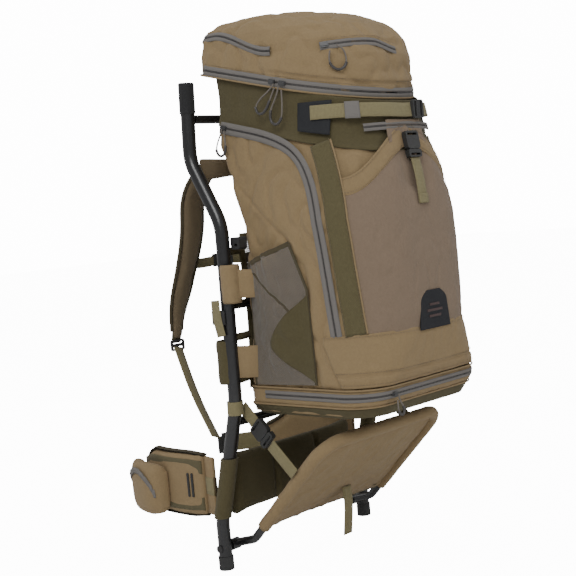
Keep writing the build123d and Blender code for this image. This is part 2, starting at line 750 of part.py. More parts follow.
for side, tag in ((-1, "left"), (1, "right")):
    with BuildPart() as belt_wing:
        wing = [(side * x, y) for x, y in WING_PATH]
        add(plan_band(wing, BELT_T, BELT_LOW_Z, BELT_LOW_Z + BELT_H, [80, 80, 60]))
    finish(belt_wing, f"belt_wing_{tag}")
    with BuildPart() as belt_pouch:
        pouch = [(side * x, y) for x, y in POUCH_PATH]
        add(plan_band(pouch, POUCH_T, BELT_LOW_Z + 4, BELT_LOW_Z + 112, [60, 50]))
        room = plan_band(wing, BELT_T + 2 * SKIN_GAP, 0, TALL, [80, 80, 60])
        add(room, mode=Mode.SUBTRACT)
    finish(belt_pouch, f"belt_pouch_{tag}")
    tip = Vector(side * 152, 254, BELT_LOW_Z + BELT_H / 2)
    web_dir = Vector(-side * 0.93, 0.37, 0)
    with BuildPart() as belt_clip:
        with BuildSketch(Plane(origin=tip, x_dir=(0, 0, 1), z_dir=web_dir)):
            Rectangle(38, WEB_T)
        extrude(amount=46)
        with BuildSketch(Plane(origin=tip + web_dir * 46, x_dir=(0, 0, 1), z_dir=web_dir)):
            RectangleRounded(50, 11, 4)
        extrude(amount=48)
    finish(belt_clip, f"belt_clip_{tag}")

# ------------------------------------------------------ zipper sliders and pulls
SLIDER_T = 4.5
PULL_GAP = 0.6  # air between a slider and the cord that hangs over it
TAPE_OUT = SKIN_GAP + TRIM + SKIN_GAP  # a slider's distance from the fabric
LEFT = Vector(-1, 0, 0)


def slider(plane, label):
    """A slider lying on its tape: body, bridge and the ring that holds the pull."""
    with BuildPart() as body:
        with BuildSketch(plane):
            RectangleRounded(9, 14, 3)
        extrude(amount=SLIDER_T - 1.5)
        with BuildSketch(plane.offset(SLIDER_T - 1.5)):
            RectangleRounded(4, 12, 1.5)
        extrude(amount=1.5)
    finish(body, label)


def pull_radii(points):
    """The largest even radius at each corner of a pull cord's route."""
    radii = []
    for before, at, after in zip(points, points[1:], points[2:]):
        run_in, run_out = Vector(at) - Vector(before), Vector(after) - Vector(at)
        turn = run_in.get_angle(run_out)
        half_turn = Vector(1, 0, 0).rotate(Axis.Z, turn / 2)
        radii.append(0.45 * min(run_in.length, run_out.length) * half_turn.X / half_turn.Y)
    return radii


def pull_cord(points, label):
    """A loop of thin cord from the slider's ring and back to it."""
    radii = pull_radii(points)
    with BuildLine() as route:
        FilletPolyline(*points, radius=radii)
    with BuildPart() as cord:
        add(along(route.line, CORD_R))
    print(label, "length", round(route.wires()[0].length, 1), "radii", [round(r, 1) for r in radii])
    finish(cord, label)


# The lid's edge zipper has two sliders, each turned some degrees round from the
# lid's front, where the flat side runs into the rounded corner.
lid_face = LID_HALF + TAPE_OUT
for tag, turn in (("rear", 90.0), ("front", 80.8)):
    foot = corner_point(LID_LEVELS, LID_BACK_Z - 30, turn)
    face = LEFT.rotate(Axis.Z, 90 - turn)
    edge_dir = Vector(face.Y, -face.X, -face.X * LID_SLOPE)
    slider(
        Plane(
            origin=(foot.X, foot.Y, mouth_z(LID_BACK_Z + 11, foot.Y)) + face * TAPE_OUT,
            x_dir=edge_dir.cross(face),
            z_dir=face,
        ),
        f"lid_slider_{tag}",
    )
cord_x = -(lid_face + SLIDER_T + CORD_R + PULL_GAP)
pull_cord(
    [
        (cord_x, -191.5, 884.0),
        (cord_x, -183.0, 877.0),
        (cord_x, -171.0, 870.0),
        (cord_x, -155.0, 862.0),
        (cord_x, -143.0, 850.0),
        (cord_x, -146.0, 838.0),
        (cord_x, -158.0, 835.0),
        (cord_x, -170.0, 844.0),
        (cord_x, -179.0, 857.0),
        (cord_x, -186.0, 868.0),
        (cord_x, -192.0, 877.0),
    ],
    "lid_cord_rear",
)
pull_cord(
    [
        (cord_x, -202.0, 877.5),
        (cord_x, -198.5, 868.0),
        (cord_x, -189.0, 854.0),
        (cord_x, -179.0, 840.0),
        (cord_x, -176.0, 824.0),
        (cord_x, -184.0, 814.0),
        (cord_x, -196.0, 815.0),
        (cord_x, -204.0, 825.0),
        (cord_x, -207.0, 840.0),
        (cord_x, -208.5, 856.0),
        (cord_x, -208.5, 872.0),
    ],
    "lid_cord_front",
)

# The side zipper's slider, where the bag narrows to its mouth.
side_at_z = ZIP_PATH[0][1] - 3
neck_low, neck_high = BAG_LEVELS[-3], BAG_LEVELS[-2]
neck_taper = (neck_low[3] - neck_high[3]) / (neck_high[0] - neck_low[0])
side_face = neck_high[3] + neck_taper * (neck_high[0] - side_at_z) + TAPE_OUT
side_out = Vector(-1, 0, neck_taper).normalized()
zip_dir = Vector(0, ZIP_PATH[0][0] - ZIP_PATH[1][0], ZIP_PATH[0][1] - ZIP_PATH[1][1])
slider(
    Plane(
        origin=(-side_face, ZIP_PATH[0][0] - 12, side_at_z),
        x_dir=zip_dir.cross(side_out),
        z_dir=side_out,
    ),
    "side_slider_left",
)
cord_x = -(side_face + SLIDER_T + CORD_R + PULL_GAP)
drape = -3.0  # the cord follows the bag as it widens
pull_cord(
    [
        (cord_x, -53.0, 819.0),
        (cord_x, -48.0, 809.0),
        (cord_x + drape / 2, -41.0, 797.0),
        (cord_x + drape, -37.0, 784.0),
        (cord_x + drape, -41.0, 773.0),
        (cord_x + drape, -51.0, 770.0),
        (cord_x + drape, -60.0, 776.0),
        (cord_x + drape, -62.0, 789.0),
        (cord_x + drape / 2, -60.0, 803.0),
        (cord_x, -58.5, 816.0),
    ],
    "side_cord_left",
)

# The lid pocket's slider, on the rounded front corner of the lid.
LID_SLIDER_TURN = 46.0
slider(
    corner_plane(LID_LEVELS, LID_ZIP_Z, LID_SLIDER_TURN).offset(TAPE_OUT + 0.2),
    "lid_pocket_slider",
)
pull_cord(
    [
        (-112.0, -296.5, 938.0),
        (-106.0, -301.0, 935.0),
        (-100.5, -303.5, 928.0),
        (-97.0, -303.5, 919.0),
        (-96.0, -303.0, 909.0),
        (-100.0, -300.5, 900.0),
        (-108.0, -294.5, 896.0),
        (-115.5, -288.0, 901.0),
        (-119.0, -284.5, 910.0),
        (-120.0, -285.0, 920.0),
        (-119.5, -287.5, 930.0),
    ],
    "lid_pocket_cord",
)

# The base zipper's slider, where the front of the base is flat.
BASE_SLIDER_X = -106.0
base_plane = corner_plane(BAG_LEVELS, (BASE_Z + 24 + BASE_TOP_Z) / 2, 0).offset(TAPE_OUT + 0.2)
base_plane.origin = Vector(BASE_SLIDER_X, base_plane.origin.Y, base_plane.origin.Z)
slider(base_plane, "base_slider")
cord_y = -368.5
pull_cord(
    [
        (-107.5, cord_y, 335.0),
        (-106.0, cord_y, 327.0),
        (-102.0, cord_y, 319.0),
        (-96.0, cord_y, 312.0),
        (-94.0, cord_y, 304.0),
        (-99.0, cord_y, 298.0),
        (-106.0, cord_y, 299.0),
        (-110.0, cord_y, 306.0),
        (-111.5, cord_y, 315.0),
        (-111.0, cord_y, 325.0),
    ],
    "base_cord",
)
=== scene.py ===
"""Looks of an external-frame hunting pack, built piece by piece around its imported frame.

Axes: +Z is up, +Y points to the wearer's back and +X to the wearer's right; the bag hangs
on the -Y side. Lengths are in metres, and MM turns a millimetre size into metres.
"""
import json
import logging
import math
from dataclasses import dataclass
from enum import Enum, StrEnum
from typing import Callable, Sequence

import bmesh
import bpy
from mathutils import Matrix, Vector, noise

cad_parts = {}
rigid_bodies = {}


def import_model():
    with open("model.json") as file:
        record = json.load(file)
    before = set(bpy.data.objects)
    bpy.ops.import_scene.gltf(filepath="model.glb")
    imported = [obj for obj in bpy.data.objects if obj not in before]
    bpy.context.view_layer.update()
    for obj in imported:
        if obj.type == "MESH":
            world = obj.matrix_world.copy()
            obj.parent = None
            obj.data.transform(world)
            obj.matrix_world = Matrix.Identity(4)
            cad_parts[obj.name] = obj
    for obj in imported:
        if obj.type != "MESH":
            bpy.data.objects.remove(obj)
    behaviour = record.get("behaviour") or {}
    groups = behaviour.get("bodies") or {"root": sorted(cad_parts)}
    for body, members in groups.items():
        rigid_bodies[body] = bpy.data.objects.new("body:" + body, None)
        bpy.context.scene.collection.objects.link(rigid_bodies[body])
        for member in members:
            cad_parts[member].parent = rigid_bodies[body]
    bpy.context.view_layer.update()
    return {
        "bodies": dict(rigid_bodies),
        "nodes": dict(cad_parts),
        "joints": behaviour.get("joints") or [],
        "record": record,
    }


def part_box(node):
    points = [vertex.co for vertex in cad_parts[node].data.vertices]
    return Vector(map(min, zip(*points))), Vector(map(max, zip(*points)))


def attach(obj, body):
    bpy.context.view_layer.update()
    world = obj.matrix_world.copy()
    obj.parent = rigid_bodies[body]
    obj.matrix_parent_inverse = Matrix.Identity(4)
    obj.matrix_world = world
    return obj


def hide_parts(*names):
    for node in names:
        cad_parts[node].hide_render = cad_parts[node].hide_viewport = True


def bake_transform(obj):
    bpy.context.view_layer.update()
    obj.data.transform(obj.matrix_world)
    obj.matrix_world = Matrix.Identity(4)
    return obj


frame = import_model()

LOG = logging.getLogger("pack")
MM = 0.001
Place = Callable[[float, float], Vector]


class Side(Enum):
    """The two sides of the pack, as the sign of X."""

    LEFT = -1
    RIGHT = 1

    @property
    def tag(self) -> str:
        """The side's name, as the frame's nodes carry it."""
        return self.name.lower()


class Body(StrEnum):
    """The bodies of the frame that new pieces ride on."""

    ROOT = "root"
    SHELF = "shelf"
    LID = "lid"
    CLIP = "front_clip"


# ------------------------------------------------------------------------ shader maths
class Signal:
    """A number that varies over a surface; arithmetic on it adds Math nodes."""

    def __init__(self, graph: "Graph", socket: bpy.types.NodeSocket) -> None:
        """Wrap a socket of a graph."""
        self.graph = graph
        self.socket = socket

    def _math(self, operation: str, *values: "Signal | float") -> "Signal":
        """Add one Math node.

        Args:
            operation: The node's operation.
            values: Its inputs in order, as signals or numbers.

        Returns:
            The node's result.
        """
        inputs = {i: v.socket if isinstance(v, Signal) else v for i, v in enumerate(values)}
        made = self.graph.node("ShaderNodeMath", {"operation": operation}, inputs)
        return Signal(self.graph, made.outputs[0])

    def __add__(self, other: "Signal | float") -> "Signal":
        """self + other."""
        return self._math("ADD", self, other)

    def __sub__(self, other: "Signal | float") -> "Signal":
        """self - other."""
        return self._math("SUBTRACT", self, other)

    def __rsub__(self, other: float) -> "Signal":
        """other - self."""
        return self._math("SUBTRACT", other, self)

    def __mul__(self, other: "Signal | float") -> "Signal":
        """self * other."""
        return self._math("MULTIPLY", self, other)

    __radd__ = __add__
    __rmul__ = __mul__

    def sine(self) -> "Signal":
        """The sine of the signal."""
        return self._math("SINE", self)

    def size(self) -> "Signal":
        """The signal without its sign."""
        return self._math("ABSOLUTE", self)

    def between(self, low: float, high: float) -> "Signal":
        """The signal rescaled so that low gives 0 and high gives 1, clamped."""
        made = self.graph.node("ShaderNodeMapRange", {}, {0: self.socket, 1: low, 2: high})
        return Signal(self.graph, made.outputs[0])


class Graph:
    """A material under construction."""

    def __init__(self, name: str) -> None:
        """Start an empty material with its output node."""
        self.material = bpy.data.materials.new(name)
        self.material.use_nodes = True
        self.tree = self.material.node_tree
        self.tree.nodes.clear()
        self.output = self.tree.nodes.new("ShaderNodeOutputMaterial")

    def node(self, kind: str, settings: dict | None = None, inputs: dict | None = None):
        """Add any node.

        Args:
            kind: The node's type.
            settings: Its properties, which are set first.
            inputs: Values or sockets for its inputs, by name or index.

        Returns:
            The new node.
        """
        made = self.tree.nodes.new(kind)
        for key, value in (settings or {}).items():
            setattr(made, key, value)
        for key, value in (inputs or {}).items():
            if isinstance(value, Signal):
                value = value.socket
            if isinstance(value, bpy.types.NodeSocket):
                self.tree.links.new(value, made.inputs[key])
            else:
                made.inputs[key].default_value = value
        return made

    def place(self, uv: bool) -> bpy.types.NodeSocket:
        """Coordinates in metres: the piece's own cloth map, or the object's space."""
        if uv:
            return self.node("ShaderNodeUVMap", {"uv_map": "cloth"}).outputs[0]
        return self.node("ShaderNodeTexCoord").outputs["Object"]

    def noise(self, where, scale: float, detail: float = 2.0, rough: float = 0.5) -> Signal:
        """Smooth noise from 0 to 1.

        Args:
            where: The coordinates' socket.
            scale: Features to the metre.
            detail: Octaves of finer noise.
            rough: How strong the finer octaves are.

        Returns:
            The noise.
        """
        values = {"Vector": where, "Scale": scale, "Detail": detail, "Roughness": rough}
        return Signal(self, self.node("ShaderNodeTexNoise", {}, values).outputs["Fac"])

    def axes(self, where) -> tuple[Signal, Signal, Signal]:
        """The three parts of a coordinate."""
        parts = self.node("ShaderNodeSeparateXYZ", {}, {0: where})
        return tuple(Signal(self, socket) for socket in parts.outputs)

    def mix(self, amount: Signal, first: Sequence[float], second: Sequence[float]):
        """A colour between two colours."""
        made = self.node("ShaderNodeMix", {"data_type": "RGBA"})
        self.tree.links.new(amount.socket, made.inputs[0])
        for index, colour in ((6, first), (7, second)):
            if isinstance(colour, bpy.types.NodeSocket):
                self.tree.links.new(colour, made.inputs[index])
            else:
                made.inputs[index].default_value = (*colour, 1.0)
        return made.outputs[2]

    def bump(self, height: Signal, depth: float, under=None) -> bpy.types.NodeSocket:
        """A Bump node.

        Args:
            height: The relief, from 0 to 1.
            depth: Its depth in metres.
            under: A normal that it adds to.

        Returns:
            The bumped normal.
        """
        values = {"Height": height, "Distance": depth, "Strength": 1.0}
        if under is not None:
            values["Normal"] = under
        return self.node("ShaderNodeBump", {}, values).outputs[0]

    def surface(self, **sockets) -> bpy.types.Material:
        """Finish the material with one Principled shader.

        Args:
            sockets: Its inputs, with underscores for spaces.

        Returns:
            The finished material.
        """
        inputs = {key.replace("_", " "): value for key, value in sockets.items()}
        shader = self.node("ShaderNodeBsdfPrincipled", {}, inputs)
        self.tree.links.new(shader.outputs[0], self.output.inputs[0])
        return self.material


# ---------------------------------------------------------------------------- finishes
@dataclass(frozen=True)
class Cloth:
    """A woven fabric in two close shades.

    Attributes:
        name: The material's name.
        light: Colour of the raised threads, linear.
        dark: Colour between the threads and of the soiled patches.
        pitch: Distance between threads, in metres.
        relief: Depth of the weave.
        rough: Roughness.
        sheen: Strength of the soft sheen.
        soil: How strongly the large patches show.
        rib: Spacing of cross ribs, for webbing; 0 for none.
    """

    name: str
    light: tuple[float, float, float]
    dark: tuple[float, float, float]
    pitch: float = 1.3 * MM
    relief: float = 0.12 * MM
    rough: float = 0.82
    sheen: float = 0.08
    soil: float = 0.5
    rib: float = 0.0

    def build(self) -> bpy.types.Material:
        """Make the material."""
        graph = Graph(self.name)
        where = graph.place(uv=True)
        across, along, _ = graph.axes(where)
        turn = 2 * math.pi / self.pitch
        warp = (across * turn).sine()
        weft = (along * turn).sine()
        weave = warp * weft * 0.5 + 0.5
        if self.rib:
            ribs = (along * (2 * math.pi / self.rib)).sine() * 0.5 + 0.5
            weave = ribs * 0.75 + weave * 0.25
        slub = graph.noise(where, 900, 2)
        body = graph.node("ShaderNodeTexCoord").outputs["Object"]
        cloudy = graph.noise(body, 9, 4, 0.6).between(0.32, 0.68)
        heather = graph.noise(body, 240, 3, 0.7).between(0.3, 0.7)
        shade = weave * 0.45 + slub * 0.25 + heather * 0.3
        fine = graph.mix(shade, self.dark, self.light)
        worn = tuple(0.5 * a + 0.5 * b for a, b in zip(self.light, self.dark))
        colour = graph.mix(cloudy * self.soil * 0.6, fine, worn)
        coarse = graph.bump(graph.noise(body, 90, 3, 0.6), 0.35 * MM)
        normal = graph.bump(weave * 0.8 + slub * 0.2, self.relief, coarse)
        return graph.surface(
            Base_Color=colour,
            Roughness=cloudy * 0.1 + (self.rough - 0.05),
            Normal=normal,
            Sheen_Weight=self.sheen,
            Sheen_Roughness=0.5,
            Specular_IOR_Level=0.16,
        )


@dataclass(frozen=True)
class Moulded:
    """Moulded plastic, rubber or coated metal.

    Attributes:
        name: The material's name.
        colour: Its colour, linear.
        rough: Roughness.
        grain: Depth of the fine surface grain, in metres.
        metal: 1 for bare metal.
        coat: Strength of a clear coat.
        worn: Colour of the rubbed spots.
        wear: How much of the surface is rubbed, from 0 to 1.
        shine: Strength of the mirrored light.
    """

    name: str
    colour: tuple[float, float, float]
    rough: float = 0.45
    grain: float = 0.05 * MM
    metal: float = 0.0
    coat: float = 0.0
    worn: tuple[float, float, float] = (0.12, 0.12, 0.12)
    wear: float = 0.2
    shine: float = 0.5

    def build(self) -> bpy.types.Material:
        """Make the material."""
        graph = Graph(self.name)
        where = graph.place(uv=False)
        patches = graph.noise(where, 60, 5, 0.65)
        rubbed = patches.between(0.72 - 0.2 * self.wear, 0.8) * self.wear
        grain = graph.noise(where, 1600, 2, 0.6)
        return graph.surface(
            Base_Color=graph.mix(rubbed, self.colour, self.worn),
            Roughness=patches * 0.16 + (self.rough - 0.08),
            Metallic=self.metal,
            Coat_Weight=self.coat,
            Coat_Roughness=0.25,
            Specular_IOR_Level=self.shine,
            Normal=graph.bump(grain, self.grain),
        )


@dataclass(frozen=True)
class Netting:
    """Open hexagonal mesh cloth, holed by its alpha."""

    name: str
    light: tuple[float, float, float]
    dark: tuple[float, float, float]
    pitch: float = 2.6 * MM
    open_share: float = 0.34

    def build(self) -> bpy.types.Material:
        """Make the material."""
        graph = Graph(self.name)
        where = graph.place(uv=True)
        across, along, _ = graph.axes(where)
        turn = 2 * math.pi / self.pitch
        one = (across * turn).sine()
        two = ((across * 0.5 + along * 0.866) * turn).sine()
        three = ((across * -0.5 + along * 0.866) * turn).sine()
        thread = (one + two + three) * 0.16 + 0.5
        cloudy = graph.noise(graph.node("ShaderNodeTexCoord").outputs["Object"], 14, 3)
        return graph.surface(
            Base_Color=graph.mix(thread * 0.6 + cloudy * 0.4, self.dark, self.light),
            Roughness=0.7,
            Alpha=thread.between(self.open_share, self.open_share + 0.12),
            Normal=graph.bump(thread, 0.4 * MM),
            Sheen_Weight=0.2,
        )


class Finish(Enum):
    """Every finish on the pack, with the record's slot that it stands for."""

    TAN = (Cloth("tan_cloth", (0.33, 0.238, 0.128), (0.215, 0.153, 0.08)), "fabric_tan")
    TAUPE = (
        Cloth("taupe_cloth", (0.262, 0.194, 0.137), (0.18, 0.133, 0.093), rough=0.74),
        "fabric_tan",
    )
    OLIVE = (Cloth("olive_cloth", (0.118, 0.1, 0.05), (0.066, 0.056, 0.028)), "fabric_olive")
    RIBBED = (
        Cloth(
            "olive_ribbed", (0.15, 0.13, 0.066), (0.082, 0.07, 0.035), pitch=3.2 * MM,
            relief=0.5 * MM, soil=0.3,
        ),
        "fabric_olive",
    )
    PADDING = (
        Cloth("brown_padding", (0.2, 0.152, 0.092), (0.115, 0.088, 0.052), sheen=0.12),
        "pad_brown",
    )
    TAPE = (
        Cloth("zipper_tape", (0.175, 0.158, 0.15), (0.115, 0.102, 0.098), relief=0.05 * MM,
              rough=0.5, sheen=0.05, soil=0.2),
        "zipper_tape",
    )
    COIL = (Moulded("zipper_coil", (0.055, 0.05, 0.048), rough=0.4), "zipper_tape")
    WEBBING = (
        Cloth("olive_webbing", (0.285, 0.25, 0.135), (0.165, 0.142, 0.074), rib=2.4 * MM,
              relief=0.35 * MM, rough=0.7, soil=0.2),
        "webbing",
    )
    DARK_WEBBING = (
        Cloth("dark_webbing", (0.15, 0.13, 0.07), (0.08, 0.07, 0.037), rib=2.4 * MM,
              relief=0.35 * MM, rough=0.7, soil=0.2),
        "webbing",
    )
    BINDING = (
        Cloth("dark_binding", (0.1, 0.083, 0.048), (0.055, 0.046, 0.027), pitch=1.0 * MM),
        "fabric_olive",
    )
    THREAD = (Moulded("sewing_thread", (0.17, 0.13, 0.08), rough=0.7), "fabric_tan")
    SLEEVE = (
        Cloth("black_sleeve", (0.035, 0.035, 0.036), (0.018, 0.018, 0.019), rough=0.7),
        "sleeve",
    )
    NETTING = (Netting("pocket_netting", (0.2, 0.17, 0.135), (0.12, 0.1, 0.078)), "mesh")
    BACK_NET = (Netting("back_netting", (0.09, 0.08, 0.06), (0.05, 0.045, 0.033),
                        pitch=3.4 * MM, open_share=0.25), "pad_brown")
    PATCH = (
        Moulded("black_rubber", (0.022, 0.023, 0.026), rough=0.7, grain=0.12 * MM,
                worn=(0.04, 0.04, 0.043), shine=0.25),
        "patch_black",
    )
    PATCH_MARK = (Moulded("patch_relief", (0.06, 0.033, 0.03), rough=0.5), "patch_black")
    BUCKLE = (
        Moulded("buckle_plastic", (0.03, 0.03, 0.029), rough=0.45, grain=0.06 * MM, shine=0.4),
        "buckle_grey",
    )
    TUBE = (
        Moulded("black_powder_coat", (0.012, 0.012, 0.013), rough=0.3, grain=0.035 * MM,
                coat=0.35, wear=0.12),
        "frame_tube",
    )
    PLASTIC = (Moulded("black_plastic", (0.02, 0.02, 0.021), rough=0.5, shine=0.35),
               "black_plastic")
    SLIDER = (
        Moulded("slider_metal", (0.06, 0.06, 0.062), rough=0.35, metal=0.8,
                worn=(0.3, 0.29, 0.27), wear=0.5),
        "slider_metal",
    )
    CORD = (
        Cloth("pull_cord", (0.23, 0.2, 0.175), (0.1, 0.087, 0.076), pitch=1.4 * MM,
              relief=0.25 * MM, rough=0.7),
        "pull_cord",
    )

    def __init__(self, recipe: "Cloth | Moulded | Netting", slot: str) -> None:
        """Keep the recipe and the slot apart."""
        self.recipe = recipe
        self.slot = slot

    @property
    def material(self) -> bpy.types.Material:
        """The finish's material, made once."""
        name = self.recipe.name
        return bpy.data.materials.get(name) or self.recipe.build()


# ----------------------------------------------------------------------- mesh workshop
@dataclass(frozen=True)
class Spot:
    """A place on a surface.

    Attributes:
        at: The point.
        out: The way the surface faces there.
    """

    at: Vector
    out: Vector

    def lifted(self, height: float) -> Vector:
        """The point that far above the surface."""
        return self.at + self.out * height


@dataclass(frozen=True)
class Station:
    """One stop of a sweep: a point, its facing and the way across the strip."""

    at: Vector
    out: Vector
    across: Vector


class Workshop:
    """Turns bmesh work into finished pieces that ride on the frame's bodies."""

    @staticmethod
    def piece(
        bm: bmesh.types.BMesh,
        name: str,
        finish: Finish,
        body: str,
        replaces: Sequence[str] = (),
        map_cloth: bool = True,
    ) -> bpy.types.Object:
        """Make an object of a bmesh, dress it and let it ride on a body.

        Args:
            bm: The mesh, which is freed.
            name: The piece's name.
            finish: Its finish.
            body: The body it rides on.
            replaces: The frame's nodes that it stands for.
            map_cloth: Whether to lay a cloth map over it by the faces' directions.

        Returns:
            The new object.
        """
        if map_cloth:
            Workshop.lay_cloth(bm)
        obj = Workshop.loose(bm, name, finish, replaces)
        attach(obj, body)
        LOG.info("%s rides on %s", name, body)
        return obj

    @staticmethod
    def loose(bm: bmesh.types.BMesh, name: str, finish: Finish,
              replaces: Sequence[str] = ()) -> bpy.types.Object:
        """Make a dressed object of a bmesh that rides on no body yet.

        Args:
            bm: The mesh, which is freed.
            name: The piece's name.
            finish: Its finish.
            replaces: The frame's nodes that it stands for.

        Returns:
            The new object.
        """
        mesh = bpy.data.meshes.new(name)
        bm.to_mesh(mesh)
        bm.free()
        mesh.materials.append(finish.material)
        for polygon in mesh.polygons:
            polygon.use_smooth = True
        obj = bpy.data.objects.new(name, mesh)
        bpy.context.scene.collection.objects.link(obj)
        if replaces:
            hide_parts(*replaces)
        LOG.info("%s: %d faces", name, len(mesh.polygons))
        return obj

    @staticmethod
    def face_away(bm: bmesh.types.BMesh, y: float = -150 * MM) -> bmesh.types.BMesh:
        """Turn a sheet's faces away from the upright line through the bag.

        Args:
            bm: The sheet.
            y: Where the line stands.

        Returns:
            The same sheet.
        """
        bm.normal_update()
        facing = 0.0
        for face in bm.faces:
            middle = face.calc_center_median()
            facing += face.calc_area() * (face.normal.x * middle.x + face.normal.y * (middle.y - y))
        if facing < 0:
            bmesh.ops.reverse_faces(bm, faces=bm.faces)
        return bm

    @staticmethod
    def lay_cloth(bm: bmesh.types.BMesh) -> None:
        """Give each face cloth coordinates in metres, seen along its strongest axis."""
        layer = bm.loops.layers.uv.get("cloth") or bm.loops.layers.uv.new("cloth")
        bm.normal_update()
        for face in bm.faces:
            size = [abs(part) for part in face.normal]
            drop = size.index(max(size))
            one, two = [axis for axis in range(3) if axis != drop]
            for loop in face.loops:
                loop[layer].uv = (loop.vert.co[one], loop.vert.co[two])

    @staticmethod
    def sheet(columns: int, rows: int, place: Place, wrap: bool = False) -> bmesh.types.BMesh:
        """A sheet of quads laid over a surface.

        Args:
            columns: Quads along the first direction.
            rows: Quads along the second.
            place: Gives the point for a pair of shares from 0 to 1.
            wrap: Whether the first direction closes on itself.

        Returns:
            The sheet, with a cloth map in metres.
        """
        bm = bmesh.new()
        bmesh.ops.create_grid(bm, x_segments=columns, y_segments=rows, size=0.5)
        shares = {vert: (vert.co.x + 0.5, vert.co.y + 0.5) for vert in bm.verts}
        points = {vert: place(*pair) for vert, pair in shares.items()}
        steps = 12
        ticks = [i / steps for i in range(steps + 1)]
        middle_row = [place(tick, 0.5) for tick in ticks]
        middle_column = [place(0.5, tick) for tick in ticks]
        wide = sum((b - a).length for a, b in zip(middle_row, middle_row[1:]))
        tall = sum((b - a).length for a, b in zip(middle_column, middle_column[1:]))
        layer = bm.loops.layers.uv.new("cloth")
        for face in bm.faces:
            for loop in face.loops:
                share = shares[loop.vert]
                loop[layer].uv = (share[0] * wide, share[1] * tall)
        for vert, point in points.items():
            vert.co = point
        if wrap:
            bmesh.ops.remove_doubles(bm, verts=bm.verts, dist=1e-6)
        bm.normal_update()
        return bm

    @staticmethod
    def sweep(
        stations: Sequence[Station], profile: Sequence[tuple[float, float]], closed: bool
    ) -> bmesh.types.BMesh:
        """A profile carried along stations.

        Args:
            stations: The stops, in order.
            profile: Points as (across, out), in metres.
            closed: Whether the profile is a closed outline, which gets end caps.

        Returns:
            The strip, with a cloth map that runs along it.
        """
        outline = list(profile) + ([profile[0]] if closed else [])
        lengths = [0.0]
        for before, after in zip(stations, stations[1:]):
            lengths.append(lengths[-1] + (after.at - before.at).length)
        girth = [0.0]
        for (a0, h0), (a1, h1) in zip(outline, outline[1:]):
            girth.append(girth[-1] + math.hypot(a1 - a0, h1 - h0))
        bm = bmesh.new()
        rows, columns = len(stations) - 1, len(outline) - 1
        bmesh.ops.create_grid(bm, x_segments=columns, y_segments=rows, size=0.5)
        layer = bm.loops.layers.uv.new("cloth")
        index = {
            vert: (round((vert.co.x + 0.5) * columns), round((vert.co.y + 0.5) * rows))
            for vert in bm.verts
        }
        for face in bm.faces:
            for loop in face.loops:
                column, row = index[loop.vert]
                loop[layer].uv = (girth[column], lengths[row])
        for vert, (column, row) in index.items():
            stop = stations[row]
            across, out = outline[column]
            vert.co = stop.at + stop.across * across + stop.out * out
        if closed:
            bmesh.ops.remove_doubles(bm, verts=bm.verts, dist=1e-7)
            Workshop.cap(bm)
        return bm

    @staticmethod
    def strap(name: str, stops: Sequence["Station"], size: Sequence[float], finish: "Finish",
              body: str, nodes: Sequence[str] = ()) -> bpy.types.Object:
        """Lay a flat strap with rounded edges along stops.

        Args:
            name: The piece's name.
            stops: Where it runs.
            size: Its width and thickness, and the height of its underside if that isn't 0.
            finish: Its finish.
            body: The body it rides on.
            nodes: The frame's nodes that it stands for.

        Returns:
            The strap.
        """
        bm = Workshop.sweep(stops, rounded_outline(*size), True)
        return Workshop.piece(bm, name, finish, body, nodes, map_cloth=False)

    @staticmethod
    def block(bm: bmesh.types.BMesh, at: Vector, size: Sequence[float],
              turn: Matrix | None = None) -> None:
        """Add a box to a mesh.

        Args:
            bm: The mesh.
            at: The box's middle.
            size: Its three sides.
            turn: Its turn, if it has one.
        """
        place = Matrix.Translation(at) @ (turn.to_4x4() if turn else Matrix.Identity(4))
        bmesh.ops.create_cube(bm, size=1.0, matrix=place @ Matrix.Diagonal((*size, 1.0)))

    @staticmethod
    def round_edges(bm: bmesh.types.BMesh, offset: float, segments: int = 3) -> None:
        """Round every edge of a mesh."""
        bmesh.ops.bevel(bm, geom=bm.edges, offset=offset, affect="EDGES", segments=segments,
                        profile=0.5, material=-1)

    @staticmethod
    def cap(bm: bmesh.types.BMesh) -> None:
        """Close a mesh's open ends and turn its faces outwards."""
        bmesh.ops.holes_fill(bm, edges=bm.edges, sides=0)
        bmesh.ops.recalc_face_normals(bm, faces=bm.faces)

    @staticmethod
    def thicken(obj: bpy.types.Object, thickness: float) -> None:
        """Give a sheet a wall that goes inwards."""
        wall = obj.modifiers.new("wall", "SOLIDIFY")
        wall.thickness = thickness
        wall.offset = -1.0

    @staticmethod
    def soften(obj: bpy.types.Object, levels: int = 1) -> None:
        """Round a piece off with a subdivision surface."""
        rounding = obj.modifiers.new("soften", "SUBSURF")
        rounding.levels = levels
        rounding.render_levels = levels


def rounded_outline(wide: float, thick: float, lift: float = 0.0) -> list[tuple[float, float]]:
    """A strap's cross-section: flat, with rounded edges.

    Args:
        wide: Its width.
        thick: Its thickness.
        lift: Height of its underside above the surface.

    Returns:
        The outline's points as (across, out).
    """
    half, edge = wide / 2, thick * 0.35
    low, high = lift, lift + thick
    return [
        (-half, low + edge),
        (-half, high - edge),
        (-half + edge, high),
        (-half * 0.4, high),
        (half * 0.4, high),
        (half - edge, high),
        (half, high - edge),
        (half, low + edge),
        (half - edge, low),
        (-half + edge, low),
    ]


